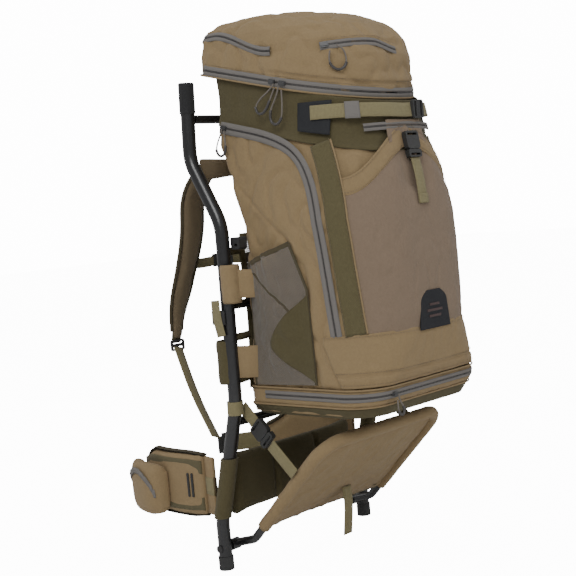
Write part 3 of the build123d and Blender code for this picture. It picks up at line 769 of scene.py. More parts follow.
def ellipse(half_wide: float, half_thick: float, count: int = 24, power: float = 2.0):
    """A rounded closed outline.

    Args:
        half_wide: Half its width.
        half_thick: Half its thickness.
        count: Points round it.
        power: 2 for an ellipse, more for a squarer one.

    Returns:
        The outline's points as (across, out), turning from out to across.
    """
    points = []
    for step in range(count):
        turn = 2 * math.pi * step / count
        c, s = math.cos(turn), math.sin(turn)
        points.append(
            (
                -half_wide * math.copysign(abs(c) ** (2 / power), c),
                half_thick * math.copysign(abs(s) ** (2 / power), s),
            )
        )
    return points


def smooth_line(points: Sequence[Sequence[float]], count: int) -> list[Vector]:
    """An even run of points on a smooth line near a list of corners.

    Args:
        points: The corners, in two or three dimensions.
        count: How many points to give.

    Returns:
        The points, the first and last of them on the end corners.
    """
    corners = [Vector(point) for point in points]
    mids = [(a + b) / 2 for a, b in zip(corners, corners[1:])]
    dense = [corners[0]]
    for before, corner, after in zip(mids, corners[1:-1], mids[1:]):
        for step in range(17):
            t = step / 16
            dense.append(before * (1 - t) ** 2 + corner * 2 * t * (1 - t) + after * t * t)
    dense.append(corners[-1])
    lengths = [0.0]
    for a, b in zip(dense, dense[1:]):
        lengths.append(lengths[-1] + (b - a).length)
    line, at = [], 0
    for step in range(count):
        want = lengths[-1] * step / (count - 1)
        while at < len(lengths) - 2 and lengths[at + 1] < want:
            at += 1
        run = lengths[at + 1] - lengths[at]
        share = 0.0 if run == 0 else (want - lengths[at]) / run
        line.append(dense[at].lerp(dense[at + 1], min(share, 1.0)))
    return line


def stations_on(spots: Sequence[Spot]) -> list[Station]:
    """Stops for a strip that lies on a surface along a row of spots."""
    stops = []
    for index, spot in enumerate(spots):
        before = spots[max(index - 1, 0)].at
        after = spots[min(index + 1, len(spots) - 1)].at
        along = (after - before).normalized()
        stops.append(Station(spot.at, spot.out, along.cross(spot.out).normalized()))
    return stops


def stations_along(points: Sequence[Vector], facing: Vector) -> list[Station]:
    """Stops along a free line whose strip faces one way as nearly as it can."""
    stops = []
    for index, point in enumerate(points):
        before = points[max(index - 1, 0)]
        after = points[min(index + 1, len(points) - 1)]
        along = (after - before).normalized()
        across = along.cross(facing).normalized()
        stops.append(Station(point, across.cross(along).normalized(), across))
    return stops


def wave(at: Vector, scale: float, seed: float = 0.0) -> float:
    """Smooth noise between about -1 and 1 at a point."""
    return noise.noise(at * scale + Vector((seed, seed * 1.7, seed * 0.3)))


def folds(at: Vector, depth: float, seed: float = 0.0) -> float:
    """Height of soft folds of cloth at a point, mostly below the surface."""
    broad = wave(Vector((at.x, at.y, at.z * 0.55)), 15, seed)
    crease = abs(wave(Vector((at.x * 1.2, at.y * 1.2, at.z * 0.8)), 24, seed + 5))
    return depth * (0.55 * broad + 0.75 * min(crease * 3, 1.0) - 0.75)


def bump_to(value: float, centre: float, width: float) -> float:
    """1 at a centre, falling smoothly to 0 at a distance of width."""
    t = abs(value - centre) / width
    return 0.0 if t >= 1 else (1 - t * t) ** 2


def ramp(value: float, low: float, high: float) -> float:
    """0 below low, 1 above high and smooth between."""
    t = min(max((value - low) / (high - low), 0.0), 1.0)
    return t * t * (3 - 2 * t)


# --------------------------------------------------------------------------- the forms
@dataclass(frozen=True)
class Level:
    """One level outline of a form: its height, back, front, half width and corner."""

    height: float
    back: float
    front: float
    half: float
    corner: float


@dataclass(frozen=True)
class Form:
    """A bag-like form through level outlines with rounded front corners.

    Attributes:
        levels: The outlines, from the lowest up.
        back_corner: Rounding of the back corners.
    """

    levels: tuple[Level, ...]
    back_corner: float = 18 * MM

    FRONT_END = 0.12
    CORNER_END = 0.56
    SIDE_END = 0.9
    BACK_CORNER_END = 0.94

    def level(self, height: float) -> Level:
        """The outline at any height."""
        levels = self.levels
        if height <= levels[0].height:
            return levels[0]
        for low, high in zip(levels, levels[1:]):
            if height <= high.height:
                t = (height - low.height) / (high.height - low.height)
                mixed = [
                    a + (b - a) * t
                    for a, b in (
                        (low.back, high.back),
                        (low.front, high.front),
                        (low.half, high.half),
                        (low.corner, high.corner),
                    )
                ]
                return Level(height, *mixed)
        return levels[-1]

    def _plan(self, share: float, height: float) -> tuple[float, float, float, float]:
        """Point and facing in plan, share running from the front round to the back."""
        at = self.level(height)
        side = -1.0 if share < 0 else 1.0
        t = abs(share)
        flat = at.half - at.corner
        corner_y = at.front + at.corner
        round_back = self.back_corner
        if t <= self.FRONT_END:
            x, y, nx, ny = flat * t / self.FRONT_END, at.front, 0.0, -1.0
        elif t <= self.CORNER_END:
            turn = (t - self.FRONT_END) / (self.CORNER_END - self.FRONT_END) * math.pi / 2
            nx, ny = math.sin(turn), -math.cos(turn)
            x, y = flat + at.corner * nx, corner_y + at.corner * ny
        elif t <= self.SIDE_END:
            run = (t - self.CORNER_END) / (self.SIDE_END - self.CORNER_END)
            x, y = at.half, corner_y + (at.back - round_back - corner_y) * run
            nx, ny = 1.0, 0.0
        elif t <= self.BACK_CORNER_END:
            run = (t - self.SIDE_END) / (self.BACK_CORNER_END - self.SIDE_END)
            nx, ny = math.cos(run * math.pi / 2), math.sin(run * math.pi / 2)
            x = at.half - round_back + round_back * nx
            y = at.back - round_back + round_back * ny
        else:
            run = (t - self.BACK_CORNER_END) / (1 - self.BACK_CORNER_END)
            x, y, nx, ny = (at.half - round_back) * (1 - run), at.back, 0.0, 1.0
        return side * x, y, side * nx, ny

    def around(self, share: float, height: float) -> Spot:
        """A spot on the form.

        Args:
            share: From -1 at the middle of the back, over 0 at the front, to 1.
            height: Its height.

        Returns:
            The spot.
        """
        x, y, nx, ny = self._plan(share, height)
        step = 6 * MM
        low, high = self._plan(share, height - step), self._plan(share, height + step)
        rise = Vector((high[0] - low[0], high[1] - low[1], 2 * step))
        out = Vector((nx, ny, 0.0))
        out = (out - rise * (out.dot(rise) / rise.dot(rise))).normalized()
        return Spot(Vector((x, y, height)), out)

    def share_beside(self, y: float, height: float) -> float:
        """The share, without its sign, where the form's side is at a depth y."""
        at = self.level(height)
        corner_y = at.front + at.corner
        if y >= corner_y:
            span = at.back - self.back_corner - corner_y
            run = min((y - corner_y) / span, 1.0)
            return self.CORNER_END + (self.SIDE_END - self.CORNER_END) * run
        turn = math.acos(min((corner_y - y) / at.corner, 1.0))
        return self.FRONT_END + (self.CORNER_END - self.FRONT_END) * turn / (math.pi / 2)

    def share_ahead(self, x: float, height: float) -> float:
        """The share where the form's front is at a width x."""
        at = self.level(height)
        flat = at.half - at.corner
        if abs(x) <= flat:
            return self.FRONT_END * x / flat
        turn = math.asin(min((abs(x) - flat) / at.corner, 1.0))
        share = self.FRONT_END + (self.CORNER_END - self.FRONT_END) * turn / (math.pi / 2)
        return math.copysign(share, x)

    def beside(self, side: Side, y: float, height: float) -> Spot:
        """A spot on one side of the form, at a depth and a height."""
        return self.around(side.value * self.share_beside(y, height), height)

    def ahead(self, x: float, height: float) -> Spot:
        """A spot on the front of the form, at a width and a height."""
        return self.around(self.share_ahead(x, height), height)


# ----------------------------------------------------------------------------- the bag
@dataclass
class Cut:
    """Where the bag's forms and edges run, taken from the frame's nodes."""

    base_low: Vector
    base_high: Vector
    pocket_low: Vector
    pocket_high: Vector
    lid_low: Vector
    lid_high: Vector
    slope: float = 0.245  # fall of the mouth and the lid's edge towards the front
    collar_height: float = 85 * MM  # from the mouth's seam to the lid's edge

    @classmethod
    def from_frame(cls) -> "Cut":
        """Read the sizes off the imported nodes."""
        return cls(
            *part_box("bag_base"),
            *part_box("front_pocket"),
            *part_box("lid"),
        )

    def lid_edge(self, y: float) -> float:
        """Height of the lid's lower edge at a depth."""
        return self.lid_high.z - 93 * MM - self.slope * (self.lid_high.y - y)

    def mouth(self, y: float) -> float:
        """Height of the seam between bag and collar at a depth."""
        return self.lid_edge(y) - self.collar_height

    @property
    def bag(self) -> Form:
        """The bag's outer form."""
        low, high = self.base_low, self.base_high
        half = high.x - 2 * MM
        front = self.pocket_low.y
        back = high.y - 14 * MM
        mouth_front = self.pocket_high.y - 3.7 * MM
        neck = back + 61 * MM
        top_half = half - 18 * MM
        level = [
            (low.z, back + 14 * MM, front + 44 * MM, half - 8 * MM, 62 * MM),
            (low.z + 24 * MM, back + 10 * MM, front + 20 * MM, half + 2 * MM, 62 * MM),
            (high.z, back + 8 * MM, front + 14 * MM, half + 2 * MM, 66 * MM),
            (high.z + 82 * MM, back, front, half, 125 * MM),
            (high.z + 212 * MM, back - 4 * MM, front, half, 125 * MM),
            (high.z + 292 * MM, back - 6 * MM, front + 5 * MM, half, 125 * MM),
            (high.z + 374 * MM, neck - 36 * MM, mouth_front - 24 * MM, top_half + 12 * MM,
             129 * MM),
            (high.z + 442 * MM, neck - 8 * MM, mouth_front - 9 * MM, top_half + 6 * MM,
             133 * MM),
            (high.z + 512 * MM, neck, mouth_front, top_half, 137 * MM),
            (high.z + 652 * MM, neck, mouth_front, top_half, 137 * MM),
        ]
        return Form(tuple(Level(*row) for row in level))

    @property
    def lid(self) -> Form:
        """The lid's outer form."""
        low, high = self.lid_low, self.lid_high
        rows = [
            (high.z - 203 * MM, 0, 0, 0),
            (high.z - 93 * MM, 0, 0, 0),
            (high.z - 62 * MM, 2, 10, 2),
            (high.z - 36 * MM, 6, 34, 5),
            (high.z - 18 * MM, 14, 66, 12),
            (high.z - 6 * MM, 30, 100, 26),
            (high.z, 58, 136, 52),
        ]
        levels = []
        for height, back, front, side in rows:
            corner = 138 * MM * (high.x - side * MM) / high.x
            levels.append(
                Level(height, high.y - back * MM, low.y + front * MM, high.x - side * MM, corner)
            )
        return Form(tuple(levels))


@dataclass
class Zipper:
    """A zipper along a row of spots: tape, coil and the flaps that cover its edges.

    Attributes:
        tape: Width of the tape with its flaps.
        lift: Height of the tape above the cloth.
        flap: Height of the flaps' rounded lips.
        pitch: Distance between the coil's turns.
    """

    tape: float = 20 * MM
    lift: float = 0.4 * MM
    flap: float = 1.5 * MM
    pitch: float = 2.2 * MM

    def build(self, name: str, spots: Sequence[Spot], body: str, nodes: Sequence[str]) -> None:
        """Make the zipper.

        Args:
            name: Start of its pieces' names.
            spots: Where its middle runs.
            body: The body it rides on.
            nodes: The frame's nodes that it stands for.
        """
        stops = stations_on(spots)
        half, low, lip = self.tape / 2, self.lift, self.lift + self.flap
        profile = [
            (-half, low - 0.6 * MM),
            (-half + 0.6 * MM, low + 0.5 * MM),
            (-half * 0.6, lip * 0.75),
            (-2.6 * MM, lip),
            (-1.7 * MM, lip - 0.5 * MM),
            (-1.6 * MM, low),
            (1.6 * MM, low),
            (1.7 * MM, lip - 0.5 * MM),
            (2.6 * MM, lip),
            (half * 0.6, lip * 0.75),
            (half - 0.6 * MM, low + 0.5 * MM),
            (half, low - 0.6 * MM),
        ]
        tape = Workshop.face_away(Workshop.sweep(stops, profile, closed=False))
        Workshop.piece(tape, f"{name}_tape", Finish.TAPE, body, nodes, map_cloth=False)
        length = sum((b.at - a.at).length for a, b in zip(spots, spots[1:]))
        self._coil(name, stops, length, body)

    def _coil(self, name: str, stops: Sequence[Station], length: float, body: str) -> None:
        """Lay the coil's turns between the flaps."""
        turns = max(int(length / self.pitch), 2)
        bm = bmesh.new()
        for step in range(turns):
            share = (step + 0.5) / turns * (len(stops) - 1)
            index = min(int(share), len(stops) - 2)
            here, there = stops[index], stops[index + 1]
            at = here.at.lerp(there.at, share - index) + here.out * (self.lift + 0.5 * MM)
            along = (there.at - here.at).normalized()
            turn = Matrix((here.across, along, here.out)).transposed().to_4x4()
            size = Matrix.Diagonal((2.6 * MM, 1.3 * MM, 1.0 * MM, 1.0))
            bmesh.ops.create_cube(bm, size=1.0, matrix=Matrix.Translation(at) @ turn @ size)
        Workshop.piece(bm, f"{name}_coil", Finish.COIL, body)


@dataclass
class Stitching:
    """Rows of single stitches.

    Attributes:
        length: Length of a stitch.
        gap: Space before the next one.
        thick: Thickness of the thread.
    """

    length: float = 3.4 * MM
    gap: float = 1.6 * MM
    thick: float = 0.55 * MM

    def build(self, name: str, rows: Sequence[Sequence[Spot]], body: str,
              finish: Finish = Finish.THREAD) -> None:
        """Sew stitches along rows of spots.

        Args:
            name: The piece's name.
            rows: Each row's spots, in order.
            body: The body the thread rides on.
            finish: The thread's finish.
        """
        bm = bmesh.new()
        step = self.length + self.gap
        for row in rows:
            carry = 0.0
            for here, there in zip(row, row[1:]):
                run = (there.at - here.at).length
                if run < 1e-6:
                    continue
                along = (there.at - here.at) / run
                across = along.cross(here.out).normalized()
                turn = Matrix((across, along, across.cross(along))).transposed().to_4x4()
                size = Matrix.Diagonal((self.thick, self.length, self.thick, 1.0))
                while carry < run:
                    at = here.at + along * carry + here.out * (self.thick * 0.3)
                    matrix = Matrix.Translation(at) @ turn @ size
                    bmesh.ops.create_cube(bm, size=1.0, matrix=matrix)
                    carry += step
                carry -= run
        Workshop.piece(bm, name, finish, body)


@dataclass
class Piping:
    """A thin rolled cord of cloth that finishes a seam."""

    radius: float = 1.5 * MM

    def build(self, name: str, spots: Sequence[Spot], finish: Finish, body: str) -> None:
        """Lay the piping along spots.

        Args:
            name: The piece's name.
            spots: Where it runs.
            finish: Its finish.
            body: The body it rides on.
        """
        r = self.radius
        bm = Workshop.sweep(stations_on(spots), ellipse(r, r, 10), closed=True)
        Workshop.piece(bm, name, finish, body, map_cloth=False)


@dataclass
class Bag:
    """The bag between its base and its mouth.

    Attributes:
        cut: Where its forms and edges run.
        wall: Thickness of the lined cloth.
        fold: Depth of the cloth's soft folds.
        band_top: Height of the lower front band.
        seam: Half width of a sewn seam's groove; not used.
    """

    cut: Cut
    wall: float = 4 * MM
    fold: float = 5.5 * MM
    band_top: float = 443 * MM
    seam: float = 5 * MM

    STRIP_HALF = 19 * MM

    def __post_init__(self) -> None:
        """Keep the form that every piece here lies on."""
        self.form = self.cut.bag

    # places on the bag
    def zip_line(self, side: Side, count: int) -> list[Spot]:
        """The side zipper's line: back along the mouth, round and down the corner."""
        corners = [(-40, 824), (-189, 788), (-250, 738), (-272, 620), (-288, 440)]
        line = smooth_line([(y * MM, z * MM) for y, z in corners], count)
        return [self.form.beside(side, point.x, point.y) for point in line]

    def strip_line(self, side: Side, count: int) -> list[Spot]:
        """The olive corner strip's middle line."""
        corners = [(-272, 774), (-289, 722), (-304, 640), (-320, 441)]
        line = smooth_line([(y * MM, z * MM) for y, z in corners], count)
        return [self.form.beside(side, point.x, point.y) for point in line]

    def crease(self, spot: Spot, share: float) -> float:
        """Depth of seams and folds at a spot of the bag's cloth, negative inwards."""
        at = spot.at
        side = abs(share)
        depth = folds(at, self.fold, 3.0 if share < 0 else 40.0)
        diagonal = (at.y + 48 * MM) * 0.9 + (740 * MM - at.z)
        if side > 0.5 and 600 * MM < at.z < 770 * MM:
            depth -= 2.2 * MM * bump_to(diagonal, 0.0, 9 * MM)
        if side > 0.5:
            sag = ramp(at.z, 360 * MM, 420 * MM) * (1 - ramp(at.z, 640 * MM, 760 * MM))
            depth -= 3 * MM * sag * bump_to(side, 0.86, 0.1)
        edge = min(at.z - self.cut.base_high.z, self.cut.mouth(at.y) - at.z)
        depth -= 2.5 * MM * bump_to(edge, 0.0, 9 * MM)
        covered = (1 - ramp(side, 0.4, 0.5)) * (1 - ramp(at.z, 722 * MM, 760 * MM))
        depth -= 3 * MM * covered
        clip = ramp(at.z, 640 * MM, 690 * MM) * (1 - ramp(at.z, 785 * MM, 815 * MM))
        depth -= 7 * MM * clip * bump_to(at.x, 0, 110 * MM) * (1 - ramp(side, 0.4, 0.5))
        return depth

    def skin(self) -> None:
        """The tan cloth of the bag, all round, with its lining."""

        def place(u: float, v: float) -> Vector:
            share = 1 - 2 * u
            y = self.form.around(share, 780 * MM).at.y
            low = self.cut.base_high.z + 0.5 * MM
            height = low + (self.cut.mouth(y) + 1 * MM - low) * v
            spot = self.form.around(share, height)
            return spot.lifted(self.crease(spot, share))

        bm = Workshop.face_away(Workshop.sheet(260, 150, place, wrap=True))
        obj = Workshop.piece(bm, "bag_cloth", Finish.TAN, Body.ROOT,
                             ["bag_shell", "front_pocket"], map_cloth=False)
        Workshop.thicken(obj, self.wall)

    def _front_sheet(
        self,
        name: str,
        finish: Finish,
        half_share: Callable[[float], float],
        low: Callable[[float], float],
        high: Callable[[float], float],
        lift: Callable[[float, float, Spot], float],
        counts: tuple[int, int] = (110, 70),
    ) -> bpy.types.Object:
        """A sheet over the front, between two edges.

        Args:
            name: The piece's name.
            finish: Its finish.
            half_share: The edge's share at a height.
            low: Lower edge's height at an across share from -1 to 1.
            high: Upper edge's height at an across share.
            lift: Height above the form for both shares and the spot.
            counts: Quads across and up.

        Returns:
            The sheet.
        """

        def place(u: float, v: float) -> Vector:
            across = 2 * u - 1
            height = low(across) + (high(across) - low(across)) * v
            spot = self.form.around(across * half_share(height), height)
            return spot.lifted(lift(u, v, spot))

        bm = Workshop.face_away(Workshop.sheet(*counts, place))
        obj = Workshop.piece(bm, name, finish, Body.ROOT, map_cloth=False)
        Workshop.thicken(obj, 1.4 * MM)
        return obj

    @staticmethod
    def panel_top(across: float) -> float:
        """Height of the taupe panel's arched top edge."""
        reach = abs(across)
        return (684 + 88 * (1 - ramp(reach, 0.14, 1.0)) - 14 * (1 - reach)) * MM

    def strip_inner(self, height: float) -> float:
        """Share of the corner strip's edge next to the front panel."""
        line = self.strip_line(Side.RIGHT, 40)
        spot = min(line, key=lambda item: abs(item.at.z - height))
        share = self.form.share_beside(spot.at.y, spot.at.z)
        return share - self.STRIP_HALF / (self.form.level(height).corner * math.pi / 2) * (
            self.form.CORNER_END - self.form.FRONT_END
        )

    def front(self) -> None:
        """The taupe front panel, the yoke bands over it and the lower band."""
        shares = {height: self.strip_inner(height * MM) for height in range(340, 840, 10)}

        def edge(height: float) -> float:
            ticks = height / (10 * MM)
            low = min(max(int(ticks), 34), 82)
            t = min(max(ticks - low, 0.0), 1.0)
            return shares[low * 10] * (1 - t) + shares[(low + 1) * 10] * t

        def taupe_lift(u: float, v: float, spot: Spot) -> float:
            puff = min(ramp(min(u, 1 - u), 0, 0.16), ramp(min(v, 1 - v), 0, 0.12))
            lift = 0.9 * MM + 3.4 * MM * puff + folds(spot.at, 1.8 * MM, 11) * puff
            under = bump_to(spot.at.x, 0, 60 * MM) * ramp(spot.at.z, 670 * MM, 705 * MM)
            return lift - (lift + 2.2 * MM) * min(under * 1.8, 1.0)

        self._front_sheet("front_panel", Finish.TAUPE, edge,
                          lambda a: self.band_top - 6 * MM, self.panel_top, taupe_lift)

        def yoke_lift(u: float, v: float, spot: Spot) -> float:
            return 1.6 * MM + 1.0 * MM * ramp(min(v, 1 - v), 0, 0.5) + folds(spot.at, 1 * MM, 17)

        self._front_sheet(
            "front_yoke", Finish.TAN, edge,
            lambda a: self.panel_top(a) - 3 * MM,
            lambda a: self.panel_top(a) + (27 + 14 * (1 - abs(a))) * MM,
            yoke_lift, (110, 16),
        )

        def brow_lift(u: float, v: float, spot: Spot) -> float:
            gape = bump_to(u, 0.5, 0.14) * (1 - ramp(v, 0, 0.7))
            return 2.2 * MM + 5 * MM * gape + folds(spot.at, 1 * MM, 19)

        self._front_sheet(
            "front_brow", Finish.TAUPE, lambda z: 0.17,
            lambda a: (764 + 17 * (1 - a * a)) * MM,
            lambda a: 806 * MM,
            brow_lift, (40, 16),
        )

        def band_lift(u: float, v: float, spot: Spot) -> float:
            tuck = 2.2 * MM * bump_to(spot.at.z, 372 * MM, 5 * MM)
            puff = ramp(min(v, 1 - v), 0, 0.2)
            return 2.0 * MM + 2.6 * MM * puff - tuck + folds(spot.at, 1.6 * MM, 23)

        self._front_sheet(
            "lower_band", Finish.TAN, lambda z: 0.53,
            lambda a: 352 * MM, lambda a: self.band_top + 2 * MM - 5 * MM * a * a,
            band_lift, (120, 34),
        )
        rows = []
        for height_of in (
            lambda a: self.panel_top(a) + 1.5 * MM,
            lambda a: self.panel_top(a) + (24 + 14 * (1 - abs(a))) * MM,
        ):
            row = []
            for step in range(81):
                across = step / 40 - 1
                height = height_of(across)
                spot = self.form.around(across * edge(height) * 0.985, height)
                row.append(Spot(spot.lifted(3.0 * MM), spot.out))
            rows.append(row)
        rows.append(self._level_row(self.band_top - 4 * MM, 0.52, 4.2 * MM))
        rows.append(self._level_row(377 * MM, 0.52, 4.4 * MM))
        rows.append(self._level_row(357 * MM, 0.52, 3.4 * MM))
        Stitching().build("front_stitches", rows, Body.ROOT)

    def _level_row(self, height: float, half_share: float, lift: float) -> list[Spot]:
        """A level row of spots across the front."""
        row = []
        for step in range(81):
            spot = self.form.around((step / 40 - 1) * half_share, height)
            row.append(Spot(spot.lifted(lift), spot.out))
        return row

    def sides(self) -> None:
        """Corner strips, side zippers and the seams beside them."""
        strips = bmesh.new()
        edges = []
        for side in Side:
            spots = self.strip_line(side, 64)
            stops = stations_on(spots)
            half = self.STRIP_HALF
            profile = [(half * a / 6, 1.1 * MM + 0.9 * MM * (1 - (a / 6) ** 4))
                       for a in range(-6, 7)]
            part = Workshop.face_away(Workshop.sweep(stops, profile, closed=False))
            mesh = bpy.data.meshes.new("strip")
            part.to_mesh(mesh)
            part.free()
            strips.from_mesh(mesh)
            bpy.data.meshes.remove(mesh)
            for away in (-1, 1):
                edges.append(
                    [
                        Spot(stop.at + stop.across * away * (half - 2 * MM) + stop.out * 1.9 * MM, stop.out)
                        for stop in stops
                    ]
                )
            Zipper(tape=22 * MM).build(
                f"side_zipper_{side.tag}", self.zip_line(side, 110), Body.ROOT,
                ["side_zippers"] if side is Side.LEFT else [],
            )
            Piping(1.6 * MM).build(
                f"front_piping_{side.tag}",
                [Spot(s.at + s.out * 1 * MM, s.out) for s in self._strip_edge(stops, side)],
                Finish.TAN, Body.ROOT,
            )
        obj = Workshop.piece(strips, "corner_strip_cloth", Finish.RIBBED, Body.ROOT,
                             ["corner_strips"], map_cloth=False)
        Workshop.thicken(obj, 1.2 * MM)
        Stitching().build("strip_stitches", edges, Body.ROOT)

    def _strip_edge(self, stops: Sequence[Station], side: Side) -> list[Spot]:
        """Spots along the strip's edge next to the front panel."""
        toward = side.value * (self.STRIP_HALF + 0.6 * MM)
        flip = 1.0 if stops[0].across.x * side.value < 0 else -1.0
        return [Spot(s.at + s.across * abs(toward) * flip, s.out) for s in stops]

    def build(self) -> None:
        """Make the whole bag."""
        self.skin()
        self.front()
        self.sides()


@dataclass
class MeshPocket:
    """A side pocket of netting with a bound rim and an olive corner.

    Attributes:
        bag: The bag it is sewn to.
        side: The side it is on.
        swell: How far its middle stands off the bag.
    """

    bag: Bag
    side: Side
    swell: float = 23 * MM

    BACK_LOW = (-94 * MM, 352 * MM)
    BACK_HIGH = (-88 * MM, 561 * MM)
    FRONT_HIGH = (-202 * MM, 606 * MM)
    FRONT_BEND = (-236 * MM, 525 * MM)
    FRONT_LOW = (-242 * MM, 356 * MM)

    def edge(self, v: float) -> tuple[Vector, Vector]:
        """The back and front ends of the pocket at a share of its height."""
        back = Vector(self.BACK_LOW).lerp(Vector(self.BACK_HIGH), v)
        if v < 0.72:
            front = Vector(self.FRONT_LOW).lerp(Vector(self.FRONT_BEND), v / 0.72)
        else:
            front = Vector(self.FRONT_BEND).lerp(Vector(self.FRONT_HIGH), (v - 0.72) / 0.28)
        return back, front

    def spot(self, u: float, v: float, lift: float = 0.0) -> Spot:
        """A spot of the pocket's cloth, u from back to front and v upwards."""
        back, front = self.edge(v)
        flat = back.lerp(front, u)
        base = self.bag.form.beside(self.side, flat.x, flat.y)
        across = ramp(min(u, 1 - u), 0.0, 0.42)
        open_top = 0.5 + 0.5 * ramp(v, 0.1, 0.9)
        up = ramp(v, 0.0, 0.22)
        wrinkle = folds(base.at, 5 * MM, 31) * across * up
        gather = 1.6 * MM * math.sin(u * 46) * ramp(v, 0.7, 1.0) * across
        height = 1.6 * MM + self.swell * across * up * open_top + wrinkle + gather
        return Spot(base.lifted(height + lift), base.out)

    def build(self) -> None:
        """Make the netting, its rim and the olive corner."""
        tag = self.side.tag
        flip = self.side is Side.LEFT

        def place(u: float, v: float) -> Vector:
            return self.spot(1 - u if flip else u, v).at

        netting = Workshop.sheet(70, 84, place)
        obj = Workshop.piece(netting, f"pocket_netting_{tag}", Finish.NETTING, Body.ROOT,
                             [f"mesh_pocket_{tag}"], map_cloth=False)
        Workshop.thicken(obj, 0.7 * MM)
        back, front = self.edge(0.0)[0], self.edge(1.0)[1]
        (back - self.edge(0.0)[1]).length * 1.12
        rim = [self.spot(step / 50, 1.0) for step in range(51)]
        self._binding(f"pocket_rim_{tag}", rim, 9 * MM)
        slant = [self.spot(0.3 + 0.66 * t, 0.93 - 0.52 * t) for t in (s / 40 for s in range(41))]
        self._binding(f"pocket_tape_{tag}", slant, 5 * MM)
        seam = [self.spot(0.995, step / 50) for step in range(51)]
        self._binding(f"pocket_front_seam_{tag}", seam, 6 * MM)
        back_seam = [self.spot(0.005, step / 50) for step in range(51)]
        self._binding(f"pocket_back_seam_{tag}", back_seam, 6 * MM)

        def corner(u: float, v: float) -> Vector:
            low = 1.0 - 0.62 * (1 - abs(2 * v - 1) ** 1.5)
            share = low + (1.0 - low) * (1 - u if flip else u)
            return self.spot(min(share, 0.999), 0.02 + 0.66 * v, 1.2 * MM).at

        patch = Workshop.sheet(20, 44, corner)
        obj = Workshop.piece(patch, f"pocket_corner_{tag}", Finish.OLIVE, Body.ROOT,
                             map_cloth=False)
        Workshop.thicken(obj, 0.9 * MM)

    def _binding(self, name: str, spots: Sequence[Spot], wide: float) -> None:
        """A folded tape over an edge of the netting."""
        bm = Workshop.sweep(stations_on(spots), rounded_outline(wide, 1.8 * MM, -0.7 * MM), True)
        Workshop.piece(bm, name, Finish.BINDING, Body.ROOT, map_cloth=False)


@dataclass
class Base:
    """The zipped compartment under the bag."""

    bag: Bag
    fold: float = 1.6 * MM

    def build(self) -> None:
        """Make the compartment's cloth, bottom, zipper and piping."""
        form, cut = self.bag.form, self.bag.cut
        low, high = cut.base_low.z, cut.base_high.z - 0.5 * MM

        def place(u: float, v: float) -> Vector:
            share = 1 - 2 * u
            height = low + 3 * MM + (high - low - 3 * MM) * v
            spot = form.around(share, height)
            tuck = 2.4 * MM * bump_to(height, high, 7 * MM)
            return spot.lifted(folds(spot.at, self.fold, 51) - tuck)

        bm = Workshop.face_away(Workshop.sheet(220, 22, place, wrap=True))
        rims = [edge for edge in bm.edges if edge.is_boundary]
        for upper in (False, True):
            ring = [e for e in rims if (e.verts[0].co.z > (low + high) / 2) == upper]
            made = bmesh.ops.extrude_edge_only(bm, edges=ring)["geom"]
            verts = [item for item in made if isinstance(item, bmesh.types.BMVert)]
            middle = sum((v.co for v in verts), Vector()) / len(verts)
            drop = -1.5 * MM if upper else -2.5 * MM
            for vert in verts:
                vert.co = middle + (vert.co - middle) * 0.95 + Vector((0, 0, drop))
            edges = [item for item in made if isinstance(item, bmesh.types.BMEdge)]
            bmesh.ops.holes_fill(bm, edges=edges, sides=0)
        bmesh.ops.recalc_face_normals(bm, faces=bm.faces)
        Workshop.piece(bm, "base_cloth", Finish.TAN, Body.ROOT, ["bag_base"])

        def under(u: float, v: float) -> Vector:
            spot = form.around(1 - 2 * u, low + 15 * MM)
            foot = Vector((spot.at.x, spot.at.y, low + 17 * MM * v - 0.5 * MM))
            inward = (1 - v) * 0.06
            centre = Vector((0, (cut.base_low.y + cut.base_high.y) / 2, foot.z))
            return foot.lerp(centre, inward) + Vector((spot.out.x, spot.out.y, 0)) * 1.6 * MM * v

        bm = Workshop.sheet(180, 8, under, wrap=True)
        bm.faces.ensure_lookup_table()
        rim = [e for e in bm.edges if e.is_boundary and e.verts[0].co.z < low + 2 * MM]
        bmesh.ops.holes_fill(bm, edges=rim, sides=0)
        obj = Workshop.piece(bm, "base_bottom", Finish.OLIVE, Body.ROOT)
        Workshop.thicken(obj, 1.2 * MM)
        for name, height, lift in (("base_piping_low", low + 19 * MM, 1.2 * MM),
                                   ("base_piping_high", high + 0.5 * MM, 0.6 * MM)):
            spots = []
            for step in range(201):
                spot = form.around(1 - step / 100, height)
                spots.append(Spot(spot.lifted(lift), spot.out))
            Piping(1.7 * MM).build(name, spots, Finish.TAN, Body.ROOT)
        line = []
        for step in range(181):
            share = 0.86 - 1.72 * step / 180
            line.append(form.around(share, low + 36.5 * MM))
        Zipper(tape=15 * MM).build("base_zipper", line, Body.ROOT, ["base_zipper"])


